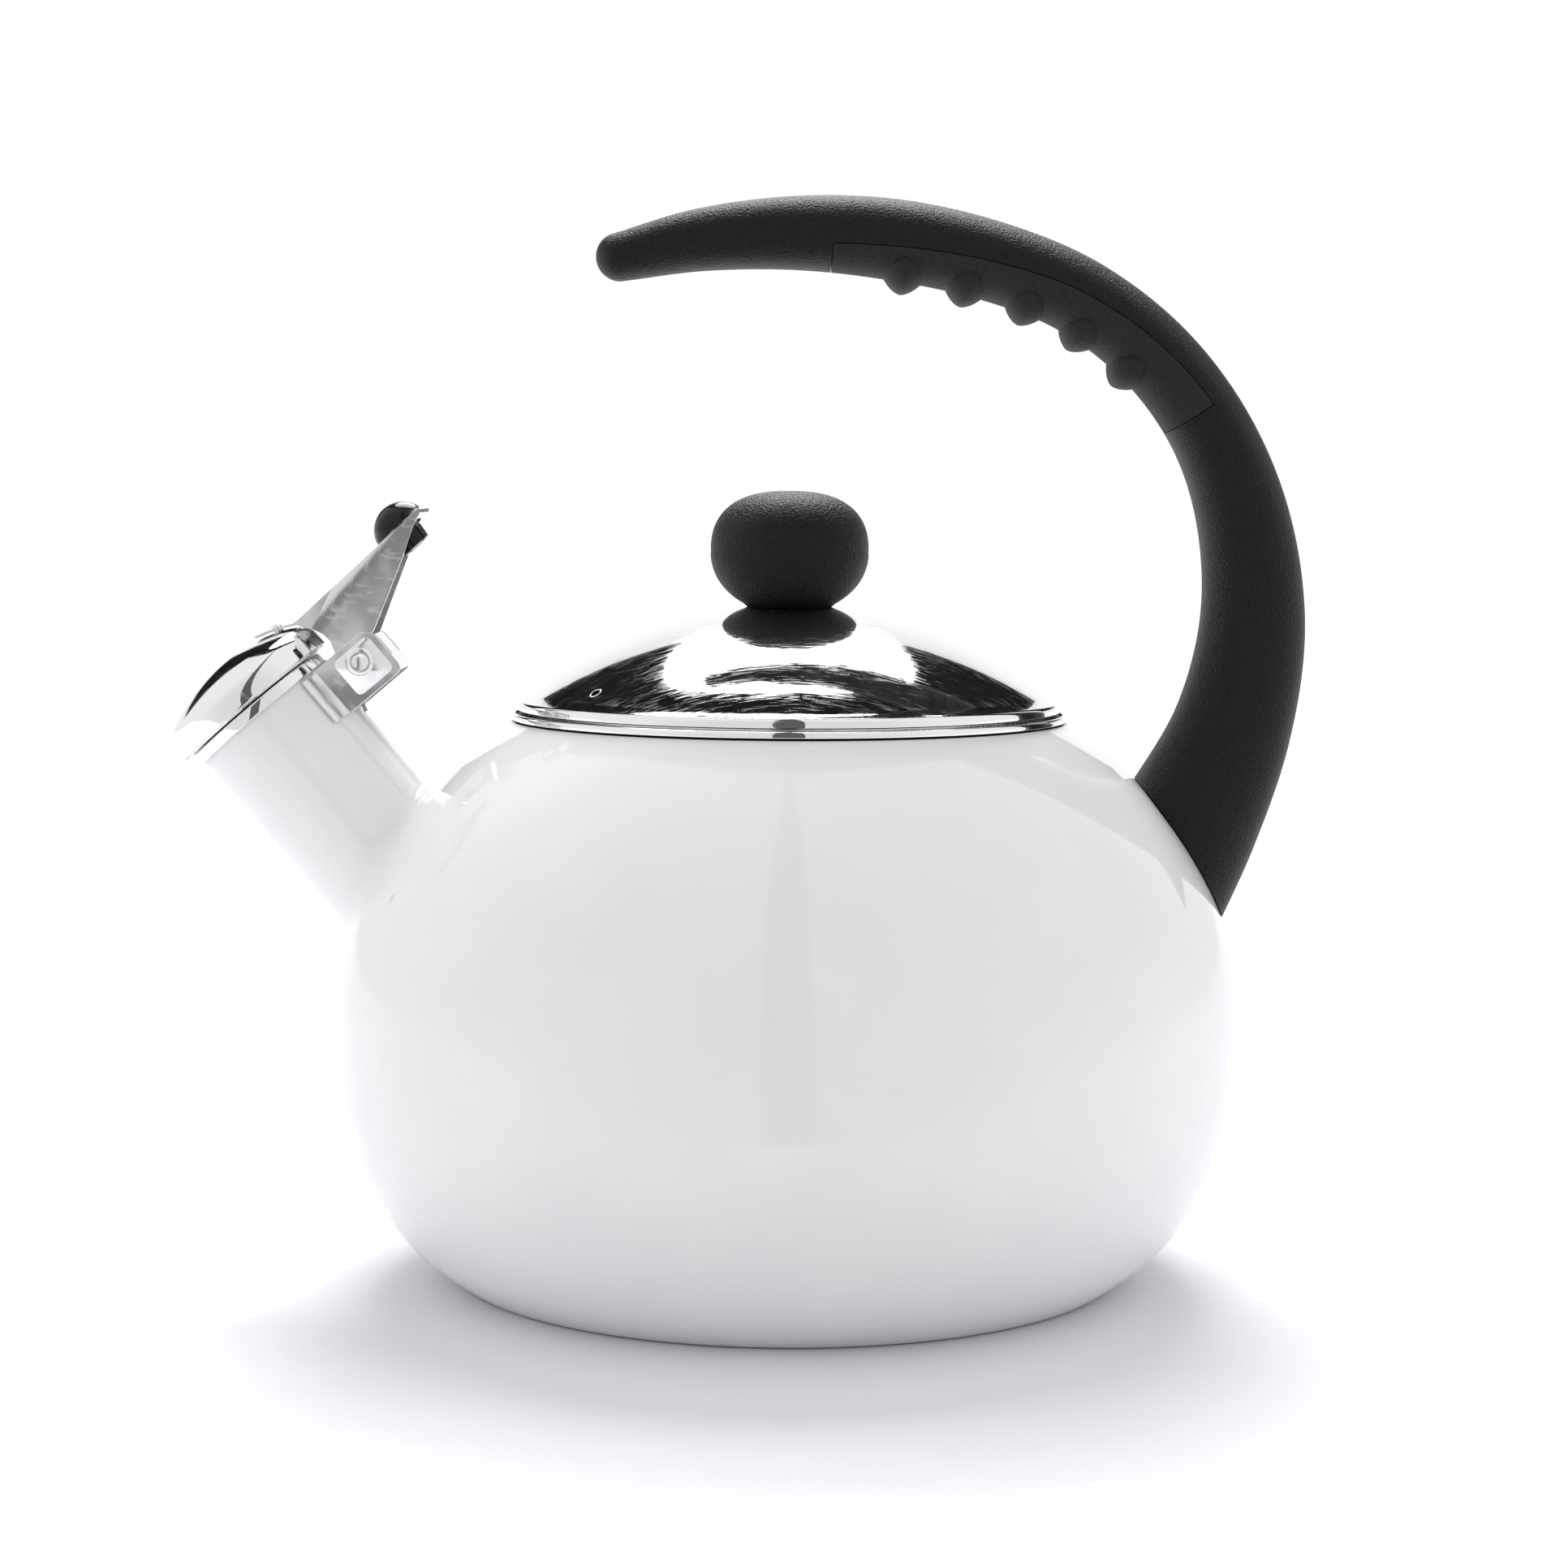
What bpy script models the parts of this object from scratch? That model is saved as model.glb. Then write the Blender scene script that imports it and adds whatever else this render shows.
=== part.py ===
"""Stovetop whistling kettle: enamelled body, lift-off lid, C-shaped handle and a sprung whistle cap.

Frame: metres, +Z up, origin at the centre of the base where the kettle stands.
The spout points to -X, the handle stands on the +X side, and Y = 0 is the plane of symmetry.
"""

import math

import bmesh
import bpy
from mathutils import Matrix, Vector

MM = 0.001

# ---------------------------------------------------------------- body
BODY_RADIUS = 95 * MM
BELLY_HEIGHT = 53 * MM
BASE_RADIUS = 69.9 * MM
MOUTH_RADIUS = 58.0 * MM
MOUTH_HEIGHT = 116.2 * MM
LOWER_FULLNESS = 2.57
UPPER_FULLNESS = 1.96
BODY_WALL = 1.1 * MM
BASE_LIP = 1.4 * MM

# ---------------------------------------------------------------- mouth and lid
RIM_BAND = 1.5 * MM
RIM_DEPTH = 6.7 * MM
RIM_WIDTH = 3.6 * MM
RIM_SHEET = 0.7 * MM
LID_OVERHANG = 1.1 * MM
LID_DOME_RADIUS = 88.5 * MM
LID_SHEET = 0.8 * MM
LID_EDGE = 1.3 * MM
COLLAR_DEPTH = 8.5 * MM
VENT_RADIUS = 1.0 * MM
VENT_AZIMUTH = math.radians(221.4)

# ---------------------------------------------------------------- lid knob
KNOB_RADIUS = 16.55 * MM
KNOB_RISE = 12.9 * MM
KNOB_DROP = 12.9 * MM
KNOB_NECK_RADIUS = 9.8 * MM
KNOB_TOP_FULLNESS = 2.5
KNOB_FOOT_FULLNESS = 2.05
INSERT_RADIUS = 3.2 * MM
INSERT_LENGTH = 8 * MM
KNOB_SCREW_RADIUS = 1.8 * MM
KNOB_WASHER_RADIUS = 6 * MM

# ---------------------------------------------------------------- spout
SPOUT_ROOT_HEIGHT = 87.8 * MM
SPOUT_TILT = math.radians(49.5)
SPOUT_RADIUS = 16.3 * MM
SPOUT_WALL = 1.1 * MM
SPOUT_LENGTH = 39.8 * MM
SPOUT_BAND = 2.5 * MM
SPOUT_BAND_PROUD = 1.0 * MM

# ---------------------------------------------------------------- whistle cap
CAP_OVERLAP = 3.2 * MM
CAP_SKIRT = 5.4 * MM
CAP_RISE = 11.3 * MM
CAP_DOME_FALL = 5.556 * MM
CAP_DOME_RADIUS = ((SPOUT_RADIUS + CAP_OVERLAP) ** 2 + CAP_DOME_FALL**2) / (2 * CAP_DOME_FALL)
CAP_SHEET = 0.8 * MM
WHISTLE_SHEET = 0.7 * MM
WHISTLE_CHAMBER = 2.4 * MM
WHISTLE_HOLE_RADIUS = 1.5 * MM
CAP_VENT_RADIUS = 1.2 * MM

# ---------------------------------------------------------------- hinge
PIVOT_STANDOFF = 7.25 * MM
PIVOT_SETBACK = 6.5 * MM
PIN_RADIUS = 1.5 * MM
PIN_HEAD_RADIUS = 2.95 * MM
PIN_HEAD_HEIGHT = 0.6 * MM
BRACKET_WIDTH = 17.5 * MM
BRACKET_LENGTH = 11.5 * MM
BRACKET_SHEET = 0.8 * MM
BRACKET_BACK = 5.95 * MM
BRACKET_WEB_DROP = 2.0 * MM
BRACKET_SLOT_DEPTH = 7.6 * MM
BRACKET_FOOT = 4.6 * MM
SPRING_WIRE_RADIUS = 0.4 * MM
SPRING_COIL_RADIUS = 2.45 * MM
SPRING_TURNS = 4
SPRING_LENGTH = 6 * MM

# ---------------------------------------------------------------- thumb lever
LEVER_WIDTH = 14.8 * MM
LEVER_TIP_WIDTH = 9.6 * MM
LEVER_REACH = 29.45 * MM
LEVER_SHOULDER = 5.5 * MM
LEVER_SLOPE = math.radians(2.5)
LEVER_SHEET = 0.8 * MM
LEVER_EAR_RADIUS = 4.0 * MM
TONGUE_WIDTH = 9 * MM
TONGUE_LENGTH = 7.9 * MM
TONGUE_SHEET = 0.6 * MM
RIVET_SPREAD = 2.5 * MM
RIVET_RADIUS = 0.75 * MM
RIVET_HEAD_RADIUS = 1.35 * MM
BALL_RADIUS = 6.15 * MM
BALL_SETBACK = 5.8 * MM
BALL_SINK = 0.95 * MM
BALL_FOOT_RADIUS = 3.65 * MM
BALL_FOOT_DROP = 5.2 * MM
BALL_PIN_RADIUS = 1.0 * MM

# ---------------------------------------------------------------- handle
FOOT_DROP = 25 * MM
FOOT_WIDTH = 28 * MM
GRIP_START = 44.5 * MM
GRIP_LENGTH = 88 * MM
GRIP_SEAM_START = -0.33
GRIP_SEAM_END = 0.25
NUB_COUNT = 5
NUB_START = 15.9 * MM
NUB_PITCH = 13.8 * MM
NUB_HALF_SIZE = (5.2 * MM, 12.9 * MM, 5.6 * MM)
NUB_FULLNESS = (1.45, 3.0, 1.45)
NUB_SINK = 3.0 * MM
NUB_ROUNDING = 1e-6
TANG_WIDTH = 12 * MM
TANG_THICKNESS = 5 * MM
TANG_LENGTH = 24 * MM
HANDLE_SCREW_RADIUS = 1.6 * MM
HANDLE_SCREW_HEAD_RADIUS = 3.0 * MM
HANDLE_SCREW_HEIGHTS = (8 * MM, 17 * MM)

# The handle's centre line from the free end to inside the body, as offsets from the middle of
# its foot: (along X, along Z, thickness in the XZ plane, width across Y).
HANDLE_SPINE = [
    (-118.6, 121.0, 10.0, 15.5),
    (-101.1, 124.7, 12.9, 20.5),
    (-81.1, 126.1, 15.2, 24.5),
    (-61.1, 124.7, 16.6, 26.5),
    (-41.1, 120.4, 16.3, 27.5),
    (-23.1, 113.2, 15.9, 27.5),
    (-7.1, 101.0, 16.1, 27.0),
    (4.9, 84.8, 17.0, 26.5),
    (11.9, 65.8, 19.2, 26.0),
    (13.8, 44.8, 21.8, 26.0),
    (9.9, 23.8, 24.6, 27.0),
    (1.4, 4.3, 29.0, FOOT_WIDTH / MM),
    (-9.1, -14.7, 33.0, FOOT_WIDTH / MM + 1),
]

# ---------------------------------------------------------------- fits
SEAM = 0.3 * MM
RUNNING = 0.1 * MM

ROUND_SEGMENTS = 48
SMALL_SEGMENTS = 20
TINY_SEGMENTS = 14


# ================================================================ helpers
def clear_scene():
    for old in list(bpy.data.objects):
        bpy.data.objects.remove(old, do_unlink=True)


def make_material(name, colour, roughness, metallic):
    made = bpy.data.materials.new(name)
    made.use_nodes = True
    shader = made.node_tree.nodes["Principled BSDF"]
    shader.inputs["Base Color"].default_value = (*colour, 1.0)
    shader.inputs["Roughness"].default_value = roughness
    shader.inputs["Metallic"].default_value = metallic
    return made


def make_frame(name, location, tilt=0.0, parent=None):
    """An empty at a working point; tilt turns it about Y."""
    frame = bpy.data.objects.new(name, None)
    frame.empty_display_size = 0.01
    frame.location = location
    frame.rotation_euler = (0.0, tilt, 0.0)
    frame.parent = parent
    bpy.context.scene.collection.objects.link(frame)
    return frame


def add_object(name, mesh, finish=None, parent=None, location=(0, 0, 0), rotation=(0, 0, 0)):
    made = bpy.data.objects.new(name, mesh)
    bpy.context.scene.collection.objects.link(made)
    made.parent = parent
    made.location = location
    made.rotation_euler = rotation
    if finish is None:
        made.hide_render = True
        made.display_type = "WIRE"
    else:
        mesh.materials.clear()
        mesh.materials.append(finish)
        mesh.shade_smooth()
        mesh.set_sharp_from_angle(angle=math.radians(35))
    return made


def mesh_from(bm, name):
    bmesh.ops.remove_doubles(bm, verts=bm.verts, dist=1e-7)
    bmesh.ops.recalc_face_normals(bm, faces=bm.faces)
    if bm.calc_volume(signed=True) < 0:
        bmesh.ops.reverse_faces(bm, faces=bm.faces)
    mesh = bpy.data.meshes.new(name)
    bm.to_mesh(mesh)
    bm.free()
    return mesh


def turned_mesh(name, section, segments=ROUND_SEGMENTS, angle=2 * math.pi, start=0.0):
    """Spin a section of (radius, height) points about Z.

    A section that starts and ends on the axis is left open there; any other is a closed ring.
    """
    bm = bmesh.new()
    turn = Matrix.Rotation(start, 4, "Z")
    verts = [bm.verts.new(turn @ Vector((radius, 0, height))) for radius, height in section]
    pairs = list(zip(verts, verts[1:]))
    on_axis = section[0][0] == 0 and section[-1][0] == 0
    if not on_axis:
        pairs.append((verts[-1], verts[0]))
    edges = [bm.edges.new(pair) for pair in pairs]
    full = angle > 6.28
    if not full:
        first = bm.faces.new(verts)
        edges = list(first.edges)
    spun = bmesh.ops.spin(
        bm,
        geom=verts + edges,
        axis=(0, 0, 1),
        cent=(0, 0, 0),
        steps=segments,
        angle=angle,
        use_merge=full,
    )
    if not full:
        last = [item for item in spun["geom_last"] if isinstance(item, bmesh.types.BMEdge)]
        bmesh.ops.contextual_create(bm, geom=last)
    return mesh_from(bm, name)


def prism_mesh(name, outline, half_width):
    """Extrude an outline of (x, z) points across Y; half_width gives the half width at each x."""
    bm = bmesh.new()
    verts = [bm.verts.new((x, -half_width(x), z)) for x, z in outline]
    face = bm.faces.new(verts)
    grown = bmesh.ops.extrude_face_region(bm, geom=[face])
    for item in grown["geom"]:
        if isinstance(item, bmesh.types.BMVert):
            item.co.y = half_width(item.co.x)
    return mesh_from(bm, name)


def box_mesh(name, low, high):
    bm = bmesh.new()
    bmesh.ops.create_cube(bm, size=1.0)
    for vert in bm.verts:
        for axis in range(3):
            vert.co[axis] = low[axis] if vert.co[axis] < 0 else high[axis]
    return mesh_from(bm, name)


def rod_mesh(name, radius, low, high, segments=SMALL_SEGMENTS):
    """A plain round bar along Z."""
    return turned_mesh(name, [(0, low), (radius, low), (radius, high), (0, high)], segments)


def cut(target, cutter, operation="DIFFERENCE"):
    step = target.modifiers.new(operation.title(), "BOOLEAN")
    step.object = cutter
    step.operation = operation
    step.solver = "EXACT"


def smooth_through(points, per_span):
    """Points on a Catmull-Rom curve that passes through the given points."""
    rows = [[2 * a - b for a, b in zip(points[0], points[1])]]
    rows += [list(point) for point in points]
    rows.append([2 * a - b for a, b in zip(points[-1], points[-2])])
    found = []
    for index in range(1, len(rows) - 2):
        before, here, after, beyond = rows[index - 1 : index + 3]
        for step in range(per_span):
            t = step / per_span
            found.append(
                [
                    0.5
                    * (
                        2 * b
                        + (c - a) * t
                        + (2 * a - 5 * b + 4 * c - d) * t**2
                        + (3 * b - a - 3 * c + d) * t**3
                    )
                    for a, b, c, d in zip(before, here, after, beyond)
                ]
            )
    found.append(rows[-2])
    return found


# ================================================================ body profile
def flank(height):
    """Outer radius of the body at a height: two superellipse flanks that meet at the belly."""
    if height < BELLY_HEIGHT:
        full = (1 - (BASE_RADIUS / BODY_RADIUS) ** LOWER_FULLNESS) ** (1 / LOWER_FULLNESS)
        share = (BELLY_HEIGHT - height) / (BELLY_HEIGHT / full)
        return BODY_RADIUS * (1 - share**LOWER_FULLNESS) ** (1 / LOWER_FULLNESS)
    full = (1 - (MOUTH_RADIUS / BODY_RADIUS) ** UPPER_FULLNESS) ** (1 / UPPER_FULLNESS)
    share = (height - BELLY_HEIGHT) / ((MOUTH_HEIGHT - BELLY_HEIGHT) / full)
    return BODY_RADIUS * (1 - share**UPPER_FULLNESS) ** (1 / UPPER_FULLNESS)


def flank_points(low, count, offset=0.0):
    """Points up the flank from a height to the mouth, moved out along the normal by an offset."""
    found = []
    for index in range(count + 1):
        height = low + (MOUTH_HEIGHT - low) * index / count
        step = 0.05 * MM
        up = min(height + step, MOUTH_HEIGHT)
        lean = (flank(up) - flank(up - step)) / step
        length = math.hypot(1, lean)
        found.append((flank(height) + offset / length, height - offset * lean / length))
    return found


# ================================================================ finishes
def make_finishes():
    return {
        "enamel": make_material("white_enamel", (0.80, 0.80, 0.80), 0.12, 0.0),
        "steel": make_material("polished_steel", (0.62, 0.62, 0.62), 0.12, 1.0),
        "black": make_material("black_phenolic", (0.020, 0.018, 0.018), 0.55, 0.0),
        "soft": make_material("soft_grip", (0.022, 0.020, 0.020), 0.7, 0.0),
        "gloss": make_material("gloss_black", (0.012, 0.012, 0.013), 0.12, 0.0),
        "brass": make_material("brass", (0.62, 0.45, 0.18), 0.3, 1.0),
        "spring": make_material("spring_steel", (0.45, 0.45, 0.46), 0.3, 1.0),
        "seal": make_material("silicone_seal", (0.30, 0.30, 0.31), 0.6, 0.0),
    }


# ================================================================ body
def make_body_cutter():
    """The body's outer form grown by a seam, for what is welded or seated on it."""
    outer = flank_points(BASE_LIP, 28, SEAM)
    section = [(0, 0), (BASE_RADIUS, 0)] + outer + [(0, outer[-1][1])]
    return add_object("body_clearance", turned_mesh("body_clearance", section))


def make_body(finish, spout_frame):
    lip = BASE_RADIUS - BASE_LIP
    outer = flank_points(BASE_LIP, 14)
    inner = flank_points(2 * BASE_LIP, 9, -BODY_WALL)
    section = [(lip, 0), (BASE_RADIUS - 0.4 * MM, 0), (BASE_RADIUS + 0.6 * MM, 0.35 * BASE_LIP)]
    section += outer
    section += inner[::-1]
    section += [(lip, BODY_WALL)]
    body = add_object("body_shell", turned_mesh("body_shell", section), finish)
    bore = SPOUT_RADIUS - SPOUT_WALL
    reach = 16 * MM
    hole = rod_mesh("spout_hole", bore, -reach, reach, 40)
    cut(body, add_object("spout_hole", hole, None, spout_frame))
    pan = [(0, 0), (lip - SEAM, 0), (lip - SEAM, BODY_WALL), (0, BODY_WALL)]
    add_object("base_pan", turned_mesh("base_pan", pan), finish)


def rim_bore():
    """Inner radius of the trim ring in the mouth, which guides the lid's collar."""
    return MOUTH_RADIUS - RIM_WIDTH


def make_mouth_ring(finish):
    """Rolled steel band that covers the raw edge of the mouth."""
    low = MOUTH_HEIGHT + SEAM
    top = low + RIM_BAND
    inner = rim_bore()
    outer = MOUTH_RADIUS + 0.35 * MM
    section = [
        (outer - 0.1 * MM, low),
        (outer, (low + top) / 2),
        (outer - 0.35 * MM, top - 0.15 * MM),
        (outer - 1.1 * MM, top),
        (inner + 0.6 * MM, top),
        (inner + 0.15 * MM, top - 0.2 * MM),
        (inner, top - 0.7 * MM),
        (inner, top - RIM_DEPTH),
        (inner + RIM_SHEET, top - RIM_DEPTH),
        (inner + RIM_SHEET, low),
    ]
    add_object("mouth_trim_ring", turned_mesh("mouth_trim_ring", section), finish)


# ================================================================ lid
def dome_height(radius, sheet=0.0):
    """Height of the lid's dome above its rim's lower edge."""
    edge = MOUTH_RADIUS - LID_OVERHANG
    base = LID_EDGE - math.sqrt(LID_DOME_RADIUS**2 - edge**2)
    return base + math.sqrt((LID_DOME_RADIUS - sheet) ** 2 - radius**2)


def make_lid(finishes, lid_frame):
    edge = MOUTH_RADIUS - LID_OVERHANG
    hole = KNOB_SCREW_RADIUS + SEAM
    steps = 6
    outer = []
    inner = []
    for index in range(steps + 1):
        radius = hole + (edge - 1.7 * MM - hole) * index / steps
        outer.append((radius, dome_height(radius)))
        radius = hole + (edge - 2.3 * MM - hole) * index / steps
        inner.append((radius, dome_height(radius, LID_SHEET)))
    section = outer
    section += [
        (edge - 0.6 * MM, LID_EDGE + 0.35 * MM),
        (edge, 0.8 * MM),
        (edge - 0.15 * MM, 0.1 * MM),
        (edge - 0.5 * MM, 0),
        (edge - 0.9 * MM, 0.1 * MM),
        (edge - 1.0 * MM, 0.8 * MM),
        (edge - 1.4 * MM, LID_EDGE - 0.1 * MM),
    ]
    section += inner[::-1]
    lid = add_object("lid_dome", turned_mesh("lid_dome", section), finishes["steel"], lid_frame)

    collar_outer = rim_bore() - 0.5 * MM
    collar_inner = collar_outer - LID_SHEET
    vent_at = collar_inner - 1.5 * MM
    place = (vent_at * math.cos(VENT_AZIMUTH), vent_at * math.sin(VENT_AZIMUTH), 0)
    vent = rod_mesh("lid_vent", VENT_RADIUS, 0, 20 * MM, TINY_SEGMENTS)
    cut(lid, add_object("lid_vent", vent, None, lid_frame, place))

    collar_top = dome_height(collar_outer, LID_SHEET) - SEAM
    collar = [
        (collar_inner, -COLLAR_DEPTH + 0.4 * MM),
        (collar_inner + 0.3 * MM, -COLLAR_DEPTH),
        (collar_outer - 0.3 * MM, -COLLAR_DEPTH),
        (collar_outer, -COLLAR_DEPTH + 0.4 * MM),
        (collar_outer, collar_top - 0.1 * MM),
        (collar_inner, collar_top),
    ]
    add_object("lid_collar", turned_mesh("lid_collar", collar), finishes["steel"], lid_frame)


def knob_radius(height):
    """Radius of the knob at a height above its widest line."""
    if height >= 0:
        share = height / KNOB_RISE
        return KNOB_RADIUS * (1 - share**KNOB_TOP_FULLNESS) ** (1 / KNOB_TOP_FULLNESS)
    share = -height / KNOB_DROP
    return KNOB_RADIUS * (1 - share**KNOB_FOOT_FULLNESS) ** (1 / KNOB_FOOT_FULLNESS)


def make_knob(finishes, lid_frame):
    seat = dome_height(0) + SEAM
    neck_share = 1 - (KNOB_NECK_RADIUS / KNOB_RADIUS) ** KNOB_FOOT_FULLNESS
    neck = KNOB_DROP * neck_share ** (1 / KNOB_FOOT_FULLNESS)
    middle = seat + neck
    socket = INSERT_RADIUS + SEAM
    socket_top = seat + INSERT_LENGTH + SEAM
    section = [(0, socket_top), (socket, socket_top), (socket, seat), (KNOB_NECK_RADIUS, seat)]
    for index in range(1, 6):
        height = -neck + neck * index / 6
        section.append((knob_radius(height), middle + height))
    for index in range(8):
        angle = math.radians(90) * index / 8
        height = KNOB_RISE * math.sin(angle) ** (2 / KNOB_TOP_FULLNESS)
        section.append((KNOB_RADIUS * math.cos(angle) ** (2 / KNOB_TOP_FULLNESS), middle + height))
    section.append((0, middle + KNOB_RISE))
    add_object("lid_knob", turned_mesh("lid_knob", section, 36), finishes["black"], lid_frame)

    bore = KNOB_SCREW_RADIUS + SEAM
    insert = [
        (bore, seat + 0.1 * MM),
        (INSERT_RADIUS, seat + 0.1 * MM),
        (INSERT_RADIUS, seat + INSERT_LENGTH),
        (bore, seat + INSERT_LENGTH),
    ]
    insert_mesh = turned_mesh("knob_insert", insert, SMALL_SEGMENTS)
    add_object("knob_insert", insert_mesh, finishes["brass"], lid_frame)

    under = dome_height(KNOB_WASHER_RADIUS, LID_SHEET) - SEAM
    washer = [
        (bore, under - 0.8 * MM),
        (KNOB_WASHER_RADIUS, under - 0.8 * MM),
        (KNOB_WASHER_RADIUS, under),
        (bore, under),
    ]
    add_object("knob_washer", turned_mesh("knob_washer", washer, 28), finishes["seal"], lid_frame)

    head = under - 0.8 * MM - SEAM
    screw = [
        (0, head - 2.2 * MM),
        (2.6 * MM, head - 2.0 * MM),
        (3.6 * MM, head - 1.1 * MM),
        (3.6 * MM, head),
        (KNOB_SCREW_RADIUS, head),
        (KNOB_SCREW_RADIUS, seat + INSERT_LENGTH - 1.5 * MM),
        (KNOB_SCREW_RADIUS - 0.5 * MM, seat + INSERT_LENGTH - 1 * MM),
        (0, seat + INSERT_LENGTH - 1 * MM),
    ]
    screw_mesh = turned_mesh("knob_screw", screw, SMALL_SEGMENTS)
    add_object("knob_screw", screw_mesh, finishes["steel"], lid_frame)


# ================================================================ spout
def make_spout(finishes, spout_frame, body_cutter):
    bore = SPOUT_RADIUS - SPOUT_WALL
    low = -16 * MM
    wall = [(bore, low), (SPOUT_RADIUS, low), (SPOUT_RADIUS, SPOUT_LENGTH), (bore, SPOUT_LENGTH)]
    tube = add_object("spout_tube", turned_mesh("spout_tube", wall, 40), finishes["enamel"], spout_frame)
    cut(tube, body_cutter)

    sheet = SPOUT_BAND_PROUD - SEAM
    outer = SPOUT_RADIUS + SPOUT_BAND_PROUD
    inner = bore - SPOUT_BAND_PROUD
    top = SPOUT_LENGTH + SEAM + 0.6 * MM
    section = [
        (outer - sheet, top - SPOUT_BAND),
        (outer, top - SPOUT_BAND),
        (outer, top - 0.4 * MM),
        (outer - 0.4 * MM, top),
        (inner + 0.4 * MM, top),
        (inner, top - 0.4 * MM),
        (inner, top - SPOUT_BAND - 1 * MM),
        (inner + sheet, top - SPOUT_BAND - 1 * MM),
        (inner + sheet, SPOUT_LENGTH + SEAM),
        (outer - sheet, SPOUT_LENGTH + SEAM),
    ]
    band = turned_mesh("spout_trim_ring", section, 40)
    add_object("spout_trim_ring", band, finishes["steel"], spout_frame)


def spout_mouth():
    """Height of the trim ring's top along the spout, on which the cap closes."""
    return SPOUT_LENGTH + SEAM + 0.6 * MM


# ================================================================ hinge
def pivot_point():
    return Vector((SPOUT_RADIUS + PIVOT_STANDOFF, 0, SPOUT_LENGTH - PIVOT_SETBACK))


def make_bracket(finish, spout_frame):
    """Bent sheet channel on the spout: two cheeks, a slotted back web and two outturned feet."""
    pivot = pivot_point()
    half = BRACKET_WIDTH / 2
    back = pivot.x + BRACKET_BACK
    top = spout_mouth() - SPOUT_BAND - SEAM
    low = top - BRACKET_LENGTH
    start = SPOUT_RADIUS - 3 * MM
    corner = 3 * MM
    outline = [(start, low), (back - 1.5 * MM, low)]
    outline += [(back - 0.4 * MM, low + 0.4 * MM), (back, low + 1.5 * MM)]
    for index in range(5):
        angle = math.radians(90) * index / 4
        outline.append((back - corner + corner * math.cos(angle), top - corner + corner * math.sin(angle)))
    outline.append((start, top))
    bracket = add_object(
        "hinge_bracket", prism_mesh("hinge_bracket", outline, lambda x: half), finish, spout_frame
    )

    inside = half - BRACKET_SHEET
    far = 10 * MM
    cavity = box_mesh("bracket_cavity", (0, -inside, low - far), (back - BRACKET_SHEET, inside, top + far))
    cut(bracket, add_object("bracket_cavity", cavity, None, spout_frame))

    web_top = top - BRACKET_WEB_DROP
    above_web = box_mesh(
        "bracket_web_top",
        (back - BRACKET_SHEET - 1 * MM, -inside, web_top),
        (back + 1 * MM, inside, top + far),
    )
    cut(bracket, add_object("bracket_web_top", above_web, None, spout_frame))

    slot_inner = LEVER_WIDTH / 2 - LEVER_SHEET - 0.4 * MM
    slot = box_mesh(
        "bracket_slot",
        (back - BRACKET_SHEET - 1 * MM, slot_inner, top - BRACKET_SLOT_DEPTH),
        (back + 1 * MM, inside, top + far),
    )
    for turn in (0, math.pi):
        side = add_object(
            "bracket_slot",
            slot,
            None,
            spout_frame,
            location=(0, 0, 0) if turn == 0 else (2 * back - BRACKET_SHEET, 0, 0),
            rotation=(0, 0, turn),
        )
        cut(bracket, side)

    near = math.asin((inside + 0.15 * MM) / (SPOUT_RADIUS + SEAM))
    sweep = BRACKET_FOOT / SPOUT_RADIUS
    foot_section = [
        (SPOUT_RADIUS - 1 * MM, low + 0.4 * MM),
        (SPOUT_RADIUS + SEAM + BRACKET_SHEET, low + 0.4 * MM),
        (SPOUT_RADIUS + SEAM + BRACKET_SHEET, top - 0.4 * MM),
        (SPOUT_RADIUS - 1 * MM, top - 0.4 * MM),
    ]
    for start_angle in (near, -near - sweep):
        foot = turned_mesh("bracket_foot", foot_section, 5, sweep, start_angle)
        cut(bracket, add_object("bracket_foot", foot, None, spout_frame), "UNION")

    clearance = rod_mesh("tube_clearance", SPOUT_RADIUS + SEAM, low - far, top + far, 40)
    cut(bracket, add_object("tube_clearance", clearance, None, spout_frame))

    hole = rod_mesh("pin_hole", PIN_RADIUS + RUNNING, -2 * half, 2 * half)
    place = add_object("pin_hole", hole, None, spout_frame, pivot, (math.pi / 2, 0, 0))
    cut(bracket, place)
    return place


def make_pin(finish, pin_frame):
    """Pin riveted over at both cheeks; it lies along Y."""
    half = BRACKET_WIDTH / 2 + SEAM
    head = PIN_HEAD_RADIUS
    section = [
        (0, -half - PIN_HEAD_HEIGHT),
        (head * 0.6, -half - PIN_HEAD_HEIGHT * 0.85),
        (head, -half - PIN_HEAD_HEIGHT * 0.3),
        (head, -half),
        (PIN_RADIUS, -half),
        (PIN_RADIUS, half),
        (head, half),
        (head, half + PIN_HEAD_HEIGHT * 0.3),
        (head * 0.6, half + PIN_HEAD_HEIGHT * 0.85),
        (0, half + PIN_HEAD_HEIGHT),
    ]
    mesh = turned_mesh("hinge_pin", section, SMALL_SEGMENTS)
    add_object("hinge_pin", mesh, finish, pin_frame, rotation=(math.pi / 2, 0, 0))


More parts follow.
